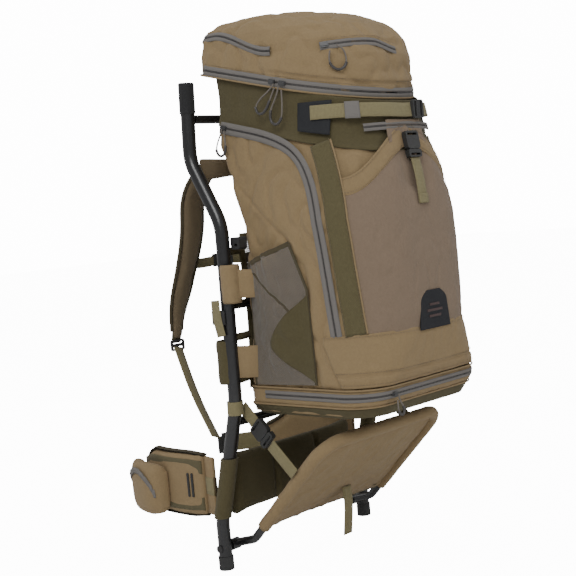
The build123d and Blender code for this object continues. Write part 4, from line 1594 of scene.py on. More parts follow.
@dataclass
class Collar:
    """The olive cloth between the bag's mouth and the lid."""

    bag: Bag
    inset: float = 5 * MM

    def build(self) -> None:
        """Make the collar with its gathers and the two black strap patches."""
        form, cut = self.bag.form, self.bag.cut

        def place(u: float, v: float) -> Vector:
            share = 1 - 2 * u
            y = form.around(share, 830 * MM).at.y
            low, high = cut.mouth(y) - 3 * MM, cut.lid_edge(y) + 2 * MM
            spot = form.around(share, low + (high - low) * v)
            gather = 2.4 * MM * wave(Vector((spot.at.x, spot.at.y, spot.at.z * 0.4)), 34, 61)
            sag = 2 * MM * bump_to(v, 0.5, 0.5)
            return spot.lifted(-self.inset + gather * bump_to(v, 0.5, 0.6) - sag
                               + 3.5 * MM * bump_to(v, 0.0, 0.16))

        bm = Workshop.face_away(Workshop.sheet(240, 36, place, wrap=True))
        obj = Workshop.piece(bm, "collar_cloth", Finish.OLIVE, Body.ROOT, ["bag_collar"],
                             map_cloth=False)
        Workshop.thicken(obj, 3 * MM)
        for side in Side:
            flip = side is Side.LEFT

            def patch(u: float, v: float) -> Vector:
                y = (-286 + 54 * u if flip else -232 - 54 * u) * MM
                low = (786 + (12 * (u if flip else 1 - u))) * MM
                height = low + (846 * MM - low) * v
                return form.beside(side, y, height).lifted(2.2 * MM)

            bm = Workshop.face_away(Workshop.sheet(20, 20, patch))
            obj = Workshop.piece(bm, f"strap_patch_{side.tag}", Finish.PATCH, Body.ROOT,
                                 ["strap_patches"] if flip else [])
            Workshop.thicken(obj, 1.6 * MM)


@dataclass
class FrontStraps:
    """The strap round the top of the bag, the front strap and the label patch."""

    bag: Bag
    strap_z: float = 824 * MM
    width: float = 25 * MM
    thick: float = 2.2 * MM

    def build(self) -> None:
        """Make the straps, the loops on them, the pocket's zipper and the patch."""
        self._top_strap()
        low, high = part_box("front_zipper")
        spots = []
        for step in range(50):
            t = step / 49
            height = high.z - 8 * MM - (high.z - low.z - 16 * MM) * (2 * t - 1) ** 2 * 0.9
            spots.append(self.bag.form.ahead(low.x + (high.x - low.x) * t, height))
        Zipper(tape=14 * MM, lift=1.2 * MM).build("front_zipper", spots, Body.ROOT,
                                                 ["front_zipper"])
        self._front_strap()
        self._label()

    def _top_strap(self) -> None:
        """The webbing round the top, from one black patch to the other."""
        form = self.bag.form
        reach = form.share_beside(-256 * MM, self.strap_z)
        spots = []
        for step in range(121):
            share = -reach + 2 * reach * step / 120
            sag = 4 * MM * bump_to(share, 0.0, reach)
            spot = form.around(share, self.strap_z + 2 * MM - sag)
            spots.append(Spot(spot.lifted(4.2 * MM), spot.out))
        Workshop.strap("top_strap", stations_on(spots),
                       (self.width, self.thick), Finish.WEBBING, Body.ROOT, ["compression_strap"])
        keeper = [s for s in spots if -118 * MM < s.at.x < -92 * MM and s.at.y < -200 * MM]
        bm = Workshop.sweep(
            stations_on(keeper), rounded_outline(self.width + 5 * MM, 1.6 * MM, self.thick), True
        )
        Workshop.piece(bm, "strap_keeper", Finish.TAPE, Body.ROOT, map_cloth=False)

    def _front_strap(self) -> None:
        """The hanging webbing under the front buckle, folded at its end."""
        low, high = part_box("front_webbing")
        top = Vector((0, high.y - 1.2 * MM, high.z))
        lean = Vector((0, low.y - high.y + 6 * MM, low.z - high.z)) * 1.18
        points = [top + lean * t + Vector((0, -2.5 * MM * math.sin(t * 3), 0)) for t in
                  (s / 24 for s in range(25))]
        stops = stations_along(points, Vector((0, -1, 0)))
        Workshop.strap("front_strap", stops,
                       (self.width, 1.9 * MM), Finish.WEBBING, Body.CLIP, ["front_webbing"])
        Workshop.strap("front_strap_fold", stops[19:],
                       (self.width + 1 * MM, 2.2 * MM, 1.7 * MM), Finish.WEBBING, Body.CLIP)

    def _label(self) -> None:
        """The black patch on the front, with a plain raised badge."""
        form = self.bag.form
        low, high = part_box("label_patch")

        def place(u: float, v: float) -> Vector:
            height = low.z + (high.z - low.z + 4 * MM) * v
            shape = 1.0 - 0.2 * v - 0.38 * max(v - 0.72, 0) / 0.28 * max(v - 0.72, 0) / 0.28
            x = (2 * u - 1) * high.x * shape
            return form.ahead(x, height).lifted(5.4 * MM)

        bm = Workshop.face_away(Workshop.sheet(36, 28, place))
        obj = Workshop.piece(bm, "label_patch_rubber", Finish.PATCH, Body.ROOT, ["label_patch"])
        Workshop.thicken(obj, 2.2 * MM)
        bars = bmesh.new()
        for row, half in ((0.34, 17 * MM), (0.5, 22 * MM), (0.66, 14 * MM)):
            height = low.z + (high.z - low.z) * row
            centre = form.ahead(0, height).lifted(5.8 * MM)
            Workshop.block(bars, centre, (2 * half, 1.4 * MM, 4.5 * MM))
        Workshop.round_edges(bars, 0.5 * MM, 2)
        Workshop.piece(bars, "label_patch_bars", Finish.PATCH_MARK, Body.ROOT)


# ----------------------------------------------------------------------------- the lid
@dataclass
class Lid:
    """The padded lid with its edge zipper, pocket zippers and hem.

    Attributes:
        cut: Where its form and edge run.
        fold: Depth of the cloth's folds.
        side_share: Share of the height taken by the walls; the rest closes the top.
    """

    cut: Cut
    fold: float = 5 * MM
    side_share: float = 0.8

    def __post_init__(self) -> None:
        """Keep the lid's form."""
        self.form = self.cut.lid

    def top_zip(self, count: int) -> list[Spot]:
        """The upper pocket's zipper, along the left side and round the back."""
        spots = []
        for step in range(count):
            t = step / (count - 1)
            if t < 0.5:
                y = -181 * MM + (175 * MM) * t / 0.5
                height = (943 + 46 * ramp(t, 0, 0.42)) * MM
                spots.append(self.form.beside(Side.LEFT, y, height))
            else:
                share = -self.form.SIDE_END - (1 - self.form.SIDE_END) * (t - 0.5) / 0.5
                spots.append(self.form.around(share, 989 * MM))
        return spots

    def front_zip(self, count: int) -> list[Spot]:
        """The front pocket's zipper, sloping down at its far end."""
        spots = []
        for step in range(count):
            t = step / (count - 1)
            x = (-122 + 146 * t) * MM
            height = (940 + 5 * math.sin(t * math.pi) - 9 * ramp(t, 0.6, 1.0)) * MM
            spots.append(self.form.ahead(x, height))
        return spots

    def crease(self, spot: Spot, share: float) -> float:
        """Depth of the lid's folds and seams, negative inwards."""
        at = spot.at
        depth = folds(at, self.fold, 71)
        above = at.z - self.cut.lid_edge(at.y)
        front = 1 - ramp(abs(share), 0.5, 0.62)
        depth -= 2.4 * MM * bump_to(above, 27 * MM, 6 * MM) * front
        depth += 1.8 * MM * bump_to(above, 34 * MM, 14 * MM) * front
        slanted = (at.y + 196 * MM) + (at.z - 905 * MM) * 0.35
        if share < 0:
            depth -= 2.2 * MM * bump_to(slanted, 0.0, 7 * MM) * (1 - ramp(at.z, 930 * MM, 955 * MM))
        depth -= 2.5 * MM * bump_to(above, 0.0, 6 * MM)
        pocket = bump_to(at.x, -50 * MM, 95 * MM) * bump_to(at.z, 915 * MM, 30 * MM)
        return depth + 2.5 * MM * pocket * front

    def skin(self) -> None:
        """The lid's cloth and its lining."""
        crown = self.cut.lid_high.z
        top = Vector((0, (self.form.level(crown).back + self.form.level(crown).front) / 2, crown))

        def place(u: float, v: float) -> Vector:
            share = 1 - 2 * u
            y = self.form.around(share, 900 * MM).at.y
            low = self.cut.lid_edge(y)
            t = min(v / self.side_share, 1.0)
            height = low + (crown - low) * (1 - (1 - t) ** 1.4)
            spot = self.form.around(share, height)
            point = spot.lifted(self.crease(spot, share) * (1 - ramp(v, 0.7, 1.0) * 0.4))
            if v > self.side_share:
                close = (v - self.side_share) / (1 - self.side_share)
                point = point.lerp(top, close)
                point.z += 3 * MM * math.sin(close * math.pi / 2) + folds(point, 3 * MM, 77) * close
            return point

        bm = Workshop.face_away(Workshop.sheet(260, 120, place, wrap=True))
        Workshop.piece(bm, "lid_cloth", Finish.TAN, Body.LID, ["lid"], map_cloth=False)

        def lining(u: float, v: float) -> Vector:
            share = 1 - 2 * u
            y = self.form.around(share, 900 * MM).at.y
            spot = self.form.around(share, self.cut.lid_edge(y))
            y_mid = (self.cut.lid_low.y + self.cut.lid_high.y) / 2
            middle = Vector((0, y_mid, self.cut.lid_edge(y_mid) + 14 * MM))
            point = spot.lifted(-1.5 * MM).lerp(middle, v)
            point.z += 1 * MM + 6 * MM * math.sin(v * math.pi / 2)
            return point

        bm = Workshop.sheet(200, 24, lining, wrap=True)
        bm.normal_update()
        if sum(face.normal.z for face in bm.faces) > 0:
            bmesh.ops.reverse_faces(bm, faces=bm.faces)
        Workshop.piece(bm, "lid_lining", Finish.OLIVE, Body.LID)

    def edge_spots(self, above: float, reach: float, count: int, lift: float = 0.0) -> list[Spot]:
        """Spots along the lid's edge.

        Args:
            above: Height above the edge.
            reach: Largest share, towards the back.
            count: How many spots.
            lift: Height above the cloth.

        Returns:
            The spots, from the right round the front to the left.
        """
        spots = []
        for step in range(count):
            share = reach - 2 * reach * step / (count - 1)
            y = self.form.around(share, 900 * MM).at.y
            spot = self.form.around(share, self.cut.lid_edge(y) + above)
            spots.append(Spot(spot.lifted(lift), spot.out))
        return spots

    def build(self) -> None:
        """Make the lid's pieces."""
        self.skin()
        Zipper(tape=18 * MM).build("lid_edge_zipper", self.edge_spots(11 * MM, 0.9, 200),
                                   Body.LID, ["lid_zipper"])
        Zipper(tape=15 * MM).build("lid_pocket_zipper", self.front_zip(50), Body.LID,
                                   ["lid_pocket_zipper"])
        Zipper(tape=16 * MM).build("lid_top_zipper", self.top_zip(90), Body.LID, [])
        Piping(1.8 * MM).build("lid_hem", self.edge_spots(1.0 * MM, 0.999, 220, 0.2 * MM),
                               Finish.TAN, Body.LID)
        rows = [
            self.edge_spots(22.5 * MM, 0.9, 160, 0.4 * MM),
            self.edge_spots(31 * MM, 0.5, 120, 1.2 * MM),
        ]
        for offset in (-10 * MM, 10 * MM):
            rows.append([Spot(s.at + Vector((0, 0, offset)) + s.out * 0.8 * MM, s.out)
                         for s in self.front_zip(50)])
        Stitching().build("lid_stitches", rows, Body.LID)


# ------------------------------------------------------------------- simulated padding
@dataclass
class Filling:
    """Puffs a closed shape into a filled pad by cloth simulation.

    Attributes:
        voxel: Size of the remeshed faces.
        pressure: Air pressure inside.
        cap: Farthest that a point may move.
        frames: Simulated frames.
    """

    voxel: float = 5 * MM
    pressure: float = 4.0
    cap: float = 7 * MM
    frames: int = 20

    def puff(self, bm: bmesh.types.BMesh) -> bmesh.types.BMesh:
        """Remesh, simulate and smooth a shape.

        Args:
            bm: The closed shape, which is freed.

        Returns:
            The filled shape.
        """
        mesh = bpy.data.meshes.new("filling")
        bm.to_mesh(mesh)
        bm.free()
        obj = bpy.data.objects.new("filling", mesh)
        bpy.context.scene.collection.objects.link(obj)
        remesh = obj.modifiers.new("remesh", "REMESH")
        remesh.mode = "VOXEL"
        remesh.voxel_size = self.voxel
        self._apply(obj)
        rest = [vert.co.copy() for vert in obj.data.vertices]
        self._simulate(obj)
        filled = bmesh.new()
        filled.from_mesh(obj.data)
        filled.verts.ensure_lookup_table()
        for vert, start in zip(filled.verts, rest):
            moved = vert.co - start
            if moved.length > self.cap:
                vert.co = start + moved * (self.cap / moved.length)
        for _ in range(3):
            bmesh.ops.smooth_vert(filled, verts=filled.verts, factor=0.5,
                                  use_axis_x=True, use_axis_y=True, use_axis_z=True)
        bmesh.ops.recalc_face_normals(filled, faces=filled.faces)
        bpy.data.objects.remove(obj)
        return filled

    def _simulate(self, obj: bpy.types.Object) -> None:
        """Run the cloth and keep its last frame."""
        cloth = obj.modifiers.new("cloth", "CLOTH")
        cloth.settings.use_pressure = True
        cloth.settings.uniform_pressure_force = self.pressure
        cloth.settings.effector_weights.gravity = 0.0
        cloth.settings.quality = 4
        cloth.point_cache.frame_start = 1
        cloth.point_cache.frame_end = self.frames
        for number in range(1, self.frames + 1):
            bpy.context.scene.frame_set(number)
        self._apply(obj)
        bpy.context.scene.frame_set(1)

    @staticmethod
    def _apply(obj: bpy.types.Object) -> None:
        """Bake an object's modifiers into its mesh."""
        graph = bpy.context.evaluated_depsgraph_get()
        made = bpy.data.meshes.new_from_object(obj.evaluated_get(graph))
        old = obj.data
        obj.modifiers.clear()
        obj.data = made
        bpy.data.meshes.remove(old)


def mirrored(bm: bmesh.types.BMesh) -> bmesh.types.BMesh:
    """A copy of a shape on the other side of the pack."""
    copy = bm.copy()
    bmesh.ops.scale(copy, vec=(-1, 1, 1), verts=copy.verts)
    bmesh.ops.reverse_faces(copy, faces=copy.faces)
    return copy


def matched_pair(name: str, bm: bmesh.types.BMesh, finish: Finish, body: str,
                 nodes: str = "", map_cloth: bool = False) -> list[bpy.types.Object]:
    """Make a piece for the left and its mirror image for the right.

    Args:
        name: The pieces' name, without the side.
        bm: The left one's mesh.
        finish: Their finish.
        body: The name of the bodies they ride on, without the side.
        nodes: The name of the nodes they stand for, without the side.
        map_cloth: Whether to lay a cloth map over them by the faces' directions.

    Returns:
        The left piece and the right one.
    """
    shapes = ((Side.LEFT, bm), (Side.RIGHT, mirrored(bm)))
    return [
        Workshop.piece(shape, f"{name}_{side.tag}", finish, f"{body}_{side.tag}",
                       [f"{nodes}_{side.tag}"] if nodes else [], map_cloth=map_cloth)
        for side, shape in shapes
    ]


def padded_pair(name: str, bm: bmesh.types.BMesh, finish: Finish, body: str,
                nodes: str, soften: int = 1) -> list[bpy.types.Object]:
    """Two mirrored padded pieces made of the left one's shape.

    Args:
        name: Start of their names.
        bm: The left piece's shape, which is freed.
        finish: Their finish.
        body: Start of their bodies' names.
        nodes: Start of the names of the frame's nodes that they stand for.
        soften: Subdivision levels.

    Returns:
        The left and the right piece.
    """
    pair = []
    other = mirrored(bm)
    for side, shape in ((Side.LEFT, bm), (Side.RIGHT, other)):
        obj = Workshop.piece(shape, f"{name}_{side.tag}", finish, f"{body}_{side.tag}",
                             [f"{nodes}_{side.tag}"])
        Workshop.soften(obj, soften)
        pair.append(obj)
    return pair


# ------------------------------------------------------------------------- the harness
@dataclass
class ShoulderPads:
    """The two S-curved shoulder pads with their bindings, webbing and buckles.

    Attributes:
        thick: Thickness of the pad before it is filled.
        wide: Its width.
    """

    thick: float = 13 * MM
    wide: float = 60 * MM

    # shares of the pad's box in depth and height, from the yoke down
    LINE = ((0.03, 0.972), (0.29, 0.95), (0.505, 0.81), (0.537, 0.606), (0.751, 0.344),
            (0.933, 0.14), (0.955, 0.0))

    def line(self, count: int) -> list[Vector]:
        """The left pad's middle line."""
        low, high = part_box("shoulder_pad_left")
        span = high - low
        x = (low.x + high.x) / 2
        corners = [(x, low.y + span.y * y, low.z + span.z * z) for y, z in self.LINE]
        return smooth_line(corners, count)

    def stops(self, count: int) -> list[Station]:
        """Stops along the left pad, facing away from the wearer."""
        stops = []
        points = self.line(count)
        for index, point in enumerate(points):
            before, after = points[max(index - 1, 0)], points[min(index + 1, count - 1)]
            along = (after - before).normalized()
            across = Vector((1, 0, 0))
            stops.append(Station(point, across.cross(along).normalized(), across))
        return stops

    @staticmethod
    def width_at(share: float) -> float:
        """How wide the pad is along its length, as a factor."""
        return 0.86 + 0.14 * bump_to(share, 0.32, 0.4) - 0.42 * ramp(share, 0.72, 1.0)

    def build(self) -> None:
        """Make both pads and what is sewn to them."""
        stops = self.stops(46)

        def shell(u: float, v: float) -> Vector:
            stop = stops[round(v * 45)]
            outline = ellipse(self.wide / 2 * self.width_at(v), self.thick / 2, 24, 3.2)
            across, out = outline[round(u * 24) % 24]
            shrink = 1 - 0.25 * bump_to(v, 0, 0.03) - 0.25 * bump_to(v, 1, 0.03)
            return stop.at + stop.across * across * shrink + stop.out * out * shrink

        bm = Workshop.sheet(24, 45, shell, wrap=True)
        Workshop.cap(bm)
        padded_pair("shoulder_padding", Filling(cap=5 * MM).puff(bm), Finish.PADDING,
                    "shoulder", "shoulder_pad")
        trims = (
            ("shoulder_webbing", 20 * MM, 1.8 * MM, 0.0, 8.6 * MM, Finish.DARK_WEBBING, 4, 44),
            ("shoulder_binding_in", 7 * MM, 7 * MM, 0.93, -3.5 * MM, Finish.BINDING, 1, 44),
            ("shoulder_binding_out", 7 * MM, 7 * MM, -0.93, -3.5 * MM, Finish.BINDING, 1, 44),
        )
        for name, wide, thick, edge, lift, finish, start, end in trims:
            moved = []
            for index in range(start, end):
                stop = stops[index]
                shift = edge * self.wide / 2 * self.width_at(index / 45)
                moved.append(Station(stop.at + stop.across * shift, stop.out, stop.across))
            strip = Workshop.sweep(moved, rounded_outline(wide, thick, lift), True)
            matched_pair(name, strip, finish, "shoulder")
        self._ladder_locks()
        self._sternum()

    def _ladder_locks(self) -> None:
        """A webbing tab over each ladder lock, and the harness strap that hangs from it."""
        low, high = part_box("ladder_lock_left")
        middle = (low + high) / 2
        points = [
            middle + Vector((0, 3.2 * MM, 4 * MM)),
            middle + Vector((0, 1 * MM, 12 * MM)),
            middle + Vector((0, -4 * MM, 34 * MM)),
        ]
        line = smooth_line(points, 14)
        tab = Workshop.sweep(stations_along(line, Vector((0, 1, 0))),
                             rounded_outline(25 * MM, 2.4 * MM), True)
        matched_pair("ladder_tab", tab, Finish.DARK_WEBBING, "shoulder")
        for side in Side:
            top = Vector((side.value * abs(middle.x), middle.y - 1 * MM, low.z + 8 * MM))
            end = Vector((side.value * 175 * MM, 27 * MM, 246 * MM))
            hang = top.lerp(end, 0.5) + Vector((0, 6 * MM, -9 * MM))
            strap = Workshop.sweep(
                stations_along(smooth_line([top, hang, end], 40), Vector((0, 1, 0))),
                rounded_outline(25 * MM, 1.9 * MM), True,
            )
            self._bridge(f"harness_strap_{side.tag}", strap, f"shoulder_{side.tag}", end, top,
                         ["harness_webbing"] if side is Side.LEFT else [])

    @staticmethod
    def _bridge(name: str, bm: bmesh.types.BMesh, body: str, fixed: Vector, free: Vector,
                nodes: Sequence[str]) -> None:
        """A webbing strap that is baked in place and rides on no body."""
        obj = Workshop.loose(bm, name, Finish.WEBBING, nodes)
        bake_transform(obj)

    def _sternum(self) -> None:
        """The strap over the chest, in two halves that meet in a small buckle."""
        low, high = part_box("sternum_half_left")
        z = (low.z + high.z) / 2
        y = high.y - 6 * MM
        start = Vector((low.x - 6 * MM, y - 8 * MM, z))
        end = Vector((high.x - 14 * MM, y + 1 * MM, z))
        line = smooth_line([start, start.lerp(end, 0.5) + Vector((0, 2 * MM, -3 * MM)), end], 24)
        strap = Workshop.sweep(stations_along(line, Vector((0, 1, 0))),
                               rounded_outline(20 * MM, 1.8 * MM), True)
        other = mirrored(strap)
        for side, shape in ((Side.LEFT, strap), (Side.RIGHT, other)):
            body = f"shoulder_{side.tag}"
            Workshop.piece(shape, f"sternum_strap_{side.tag}", Finish.WEBBING, body,
                           [f"sternum_half_{side.tag}"], map_cloth=False)
            bm = bmesh.new()
            centre = Vector((side.value * 15 * MM, y + 2.5 * MM, z))
            Workshop.block(bm, centre, (24 * MM, 8 * MM, 26 * MM))
            Workshop.round_edges(bm, 2.4 * MM)
            Workshop.piece(bm, f"sternum_buckle_{side.tag}", Finish.BUCKLE, body)


@dataclass
class BackPanel:
    """What lies against the wearer's back: yoke, netting and lumbar pad."""

    def build(self) -> None:
        """Make the back's pieces."""
        self._pillow("yoke_padding", "back_yoke", Finish.PADDING, 5 * MM, 0.5)
        self._pillow("lumbar_padding", "lumbar_pad", Finish.OLIVE, 6 * MM, 0.6)
        low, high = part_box("back_mesh")
        y = (low.y + high.y) / 2

        def place(u: float, v: float) -> Vector:
            x = high.x + (low.x - high.x) * u
            z = low.z + (high.z - low.z) * v
            slack = 9 * MM * (1 - (2 * u - 1) ** 2) * (1 - (2 * v - 1) ** 4)
            tuck = 7 * MM * bump_to(v, 0.5, 0.5)
            return Vector((x * (1 - 0.05 * math.sin(v * math.pi)), y - slack * 0.4, z)) + Vector(
                (0, -tuck * 0.3, 0)
            )

        bm = Workshop.sheet(60, 60, place)
        obj = Workshop.piece(bm, "back_netting", Finish.BACK_NET, Body.ROOT, ["back_mesh"],
                             map_cloth=False)
        Workshop.thicken(obj, 1.2 * MM)
        facing = Vector((0, 1, 0))
        for name, edge in (("left", 1.0), ("right", 0.0), ("low", None), ("high", None)):
            points = []
            for step in range(31):
                t = step / 30
                if name in ("left", "right"):
                    points.append(place(edge, t))
                else:
                    points.append(place(t, 0.0 if name == "low" else 1.0))
            Workshop.strap(f"back_binding_{name}", stations_along(points, facing),
                           (16 * MM, 3 * MM, -1.5 * MM), Finish.DARK_WEBBING, Body.ROOT)
        self._lacing(place)

    @staticmethod
    def _lacing(place: Place) -> None:
        """Webbing loops that hold the netting to the uprights."""
        for side, edge in ((Side.LEFT, 1.0), (Side.RIGHT, 0.0)):
            for row in (0.08, 0.36, 0.64, 0.92):
                inner = place(edge, row)
                outer = Vector((side.value * 196 * MM, inner.y - 13 * MM, inner.z))
                line = smooth_line([inner, inner.lerp(outer, 0.5) + Vector((0, -3 * MM, 0)),
                                    outer], 10)
                strip = Workshop.sweep(stations_along(line, Vector((0, 1, 0))),
                                       rounded_outline(14 * MM, 1.8 * MM), True)
                Workshop.piece(strip, f"back_lace_{side.tag}_{int(row * 100)}",
                               Finish.DARK_WEBBING, Body.ROOT, map_cloth=False)

    @staticmethod
    def _pillow(name: str, node: str, finish: Finish, cap: float, fill: float) -> None:
        """A filled cushion in the place of a plain node."""
        low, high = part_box(node)
        inset = Vector((2 * MM, 2.5 * MM, 3 * MM))
        size = (high - low) - inset * 2
        middle = (low + high) / 2
        bm = bmesh.new()
        Workshop.block(bm, middle, size)
        Workshop.round_edges(bm, min(size) * 0.3)
        filled = Filling(cap=cap).puff(bm)
        for vert in filled.verts:
            channel = max(bump_to(vert.co.x, x, 8 * MM) for x in (-60 * MM, 60 * MM))
            vert.co.y -= (vert.co.y - middle.y) * 0.4 * channel
        obj = Workshop.piece(filled, name, finish, Body.ROOT, [node])
        Workshop.soften(obj)


# ------------------------------------------------------------------------ the hip belt
@dataclass
class HipBelt:
    """The two wings of the belt with their webbing rows, pouches and buckle halves."""

    thick: float = 17 * MM

    # inner wing line, in from the wing's outermost X and forward of its rear end
    LINE = ((19, 2), (12, 56), (14, 116), (31, 174), (59, 210))

    def line(self, count: int, shift: float = 0.0) -> list[Vector]:
        """The right wing's middle line in plan, mirrored to the left by the caller."""
        low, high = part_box("belt_wing_right")
        z = (low.z + high.z) / 2
        corners = [(high.x - x * MM + 1 * MM + shift, low.y + y * MM, z) for x, y in self.LINE]
        return smooth_line(corners, count)

    def stops(self, count: int) -> list[Station]:
        """Stops along the left wing, with the strip's width upright."""
        points = [Vector((-p.x, p.y, p.z)) for p in self.line(count)]
        stops = []
        for index, point in enumerate(points):
            before, after = points[max(index - 1, 0)], points[min(index + 1, count - 1)]
            along = (after - before).normalized()
            across = Vector((0, 0, 1))
            stops.append(Station(point, along.cross(across).normalized() * -1, across))
        return stops

    @staticmethod
    def half_height(share: float, half: float) -> float:
        """Half the wing's height along its length."""
        return half * (1 - 0.5 * ramp(share, 0.62, 1.0) - 0.06 * bump_to(share, 0.0, 0.2))

    def build(self) -> None:
        """Make both wings and what is on them."""
        low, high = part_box("belt_wing_left")
        half = (high.z - low.z) / 2
        stops = self.stops(46)

        def shell(u: float, v: float) -> Vector:
            stop = stops[round(v * 45)]
            outline = ellipse(self.half_height(v, half - 4 * MM), self.thick / 2, 32, 3.4)
            across, out = outline[round(u * 32) % 32]
            shrink = 1 - 0.25 * bump_to(v, 1, 0.04)
            return stop.at + stop.across * across + stop.out * out * shrink

        bm = Workshop.sheet(32, 45, shell, wrap=True)
        Workshop.cap(bm)
        filled = Filling(cap=5 * MM, voxel=6 * MM).puff(bm)
        padded_pair("belt_padding", filled, Finish.TAN, "belt", "belt_wing")
        rows = (
            ("belt_row_low", -0.56, 25 * MM, Finish.DARK_WEBBING, 1, 44),
            ("belt_row_middle", 0.0, 38 * MM, Finish.WEBBING, 3, 46),
            ("belt_row_high", 0.56, 25 * MM, Finish.DARK_WEBBING, 1, 44),
            ("belt_edge_low", -0.91, 8 * MM, Finish.BINDING, 1, 43),
            ("belt_edge_high", 0.91, 8 * MM, Finish.BINDING, 1, 43),
        )
        for name, place, wide, finish, start, end in rows:
            edge = abs(place) > 0.9
            moved = []
            for index in range(start, end):
                stop = stops[index]
                reach = self.half_height(index / 45, half - 3.5 * MM)
                lift = 0.0 if edge else self.thick / 2 + 2.2 * MM
                at = stop.at + stop.across * place * reach + stop.out * lift
                moved.append(Station(at, stop.out, stop.across))
            outline = (
                rounded_outline(wide, 15 * MM, -7.5 * MM) if edge
                else rounded_outline(wide, 2.0 * MM)
            )
            matched_pair(name, Workshop.sweep(moved, outline, True), finish, "belt")
        self._pouches()
        self._tri_glides(stops)
        self._clips()

    def _tri_glides(self, stops: Sequence[Station]) -> None:
        """Two upright plastic bars on the middle row of each wing."""
        bm = bmesh.new()
        for index in (6, 8):
            stop = stops[index]
            at = stop.at + stop.out * (self.thick / 2 + 5.4 * MM)
            along = stop.across.cross(stop.out)
            turn = Matrix((along, stop.across, stop.out)).transposed()
            Workshop.block(bm, at, (5 * MM, 46 * MM, 3.6 * MM), turn)
        Workshop.round_edges(bm, 1.2 * MM, 2)
        matched_pair("belt_glide", bm, Finish.BUCKLE, "belt", map_cloth=True)

    def _pouches(self) -> None:
        """The rounded zipped pouch on each wing."""
        low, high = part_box("belt_pouch_left")
        stops = self.stops(60)
        first, last = 24, 54
        height = (high.z - low.z) / 2 - 2 * MM
        middle = (high.z + low.z) / 2

        def place(u: float, v: float) -> Vector:
            stop = stops[first + round(v * (last - first))]
            bulge = (1 - (2 * v - 1) ** 4) ** 0.5
            outline = ellipse(height * (0.72 + 0.28 * bulge), 0.5, 32, 3.0)
            across, out = outline[round(u * 32) % 32]
            base = self.thick / 2 + 3.5 * MM
            depth = base + (0.5 + out) * (8 + 29 * bulge) * MM
            at = stop.at + stop.across * across + stop.out * depth
            at.z += middle - stop.at.z
            return at

        bm = Workshop.sheet(32, last - first, place, wrap=True)
        Workshop.cap(bm)
        filled = Filling(cap=5 * MM, voxel=5 * MM).puff(bm)
        padded_pair("belt_pouch_cloth", filled, Finish.TAN, "belt", "belt_pouch")
        self._pouch_zip(stops, first, last, height, middle)

    def _pouch_zip(self, stops: Sequence[Station], first: int, last: int, height: float,
                   middle: float) -> None:
        """An arched zipper tape over each pouch's face."""
        spots = []
        for step in range(41):
            t = step / 40
            turn = math.pi * t
            stop = stops[first + 4 + round((last - first - 8) * (0.5 - 0.5 * math.cos(turn)))]
            bulge = (1 - (-math.cos(turn) * 0.86) ** 4) ** 0.5
            out = self.thick / 2 + 3.5 * MM + (8 + 29 * bulge) * MM + 4.5 * MM
            rise = height * (-0.25 + 0.92 * math.sin(turn))
            sink = 6 * MM * ramp(abs(rise) / height, 0.5, 1.0)
            at = stop.at + stop.out * (out - sink)
            at.z = middle + rise
            spots.append(Spot(at, stop.out))
        half = 6 * MM
        profile = [(-half, -1.5 * MM), (-half * 0.5, 0.4 * MM), (-1 * MM, 0.9 * MM), (0, 0.1 * MM),
                   (1 * MM, 0.9 * MM), (half * 0.5, 0.4 * MM), (half, -1.5 * MM)]
        strip = Workshop.sweep(stations_on(spots), profile, closed=False)
        for obj in matched_pair("pouch_zipper", strip, Finish.TAPE, "belt"):
            Workshop.thicken(obj, 1 * MM)

    def _clips(self) -> None:
        """The belt's webbing ends and the two halves of its buckle."""
        low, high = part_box("belt_clip_left")
        z = (low.z + high.z) / 2
        start = Vector((low.x - 13 * MM, low.y - 22 * MM, z))
        end = Vector((high.x - 42 * MM, high.y - 20 * MM, z))
        line = smooth_line([start, start.lerp(end, 0.5) + Vector((0, 2 * MM, 0)), end], 20)
        strap = Workshop.sweep(stations_along(line, Vector((0, 1, 0))),
                               rounded_outline(38 * MM, 2.2 * MM), True)
        matched_pair("belt_strap", strap, Finish.WEBBING, "belt", "belt_clip")
        bm = bmesh.new()
        run = Vector((0.93, 0.37, 0)).normalized()
        centre = end + run * 17 * MM
        turn = Matrix((run, Vector((0, 0, 1)).cross(run), Vector((0, 0, 1)))).transposed()
        for along, wide, thick, long in ((0, 50, 11, 24), (14 * MM, 38, 8, 16)):
            size = (long * MM, thick * MM, wide * MM)
            Workshop.block(bm, centre + run * along, size, turn)
        Workshop.round_edges(bm, 2 * MM)
        matched_pair("belt_buckle", bm, Finish.BUCKLE, "belt", map_cloth=True)


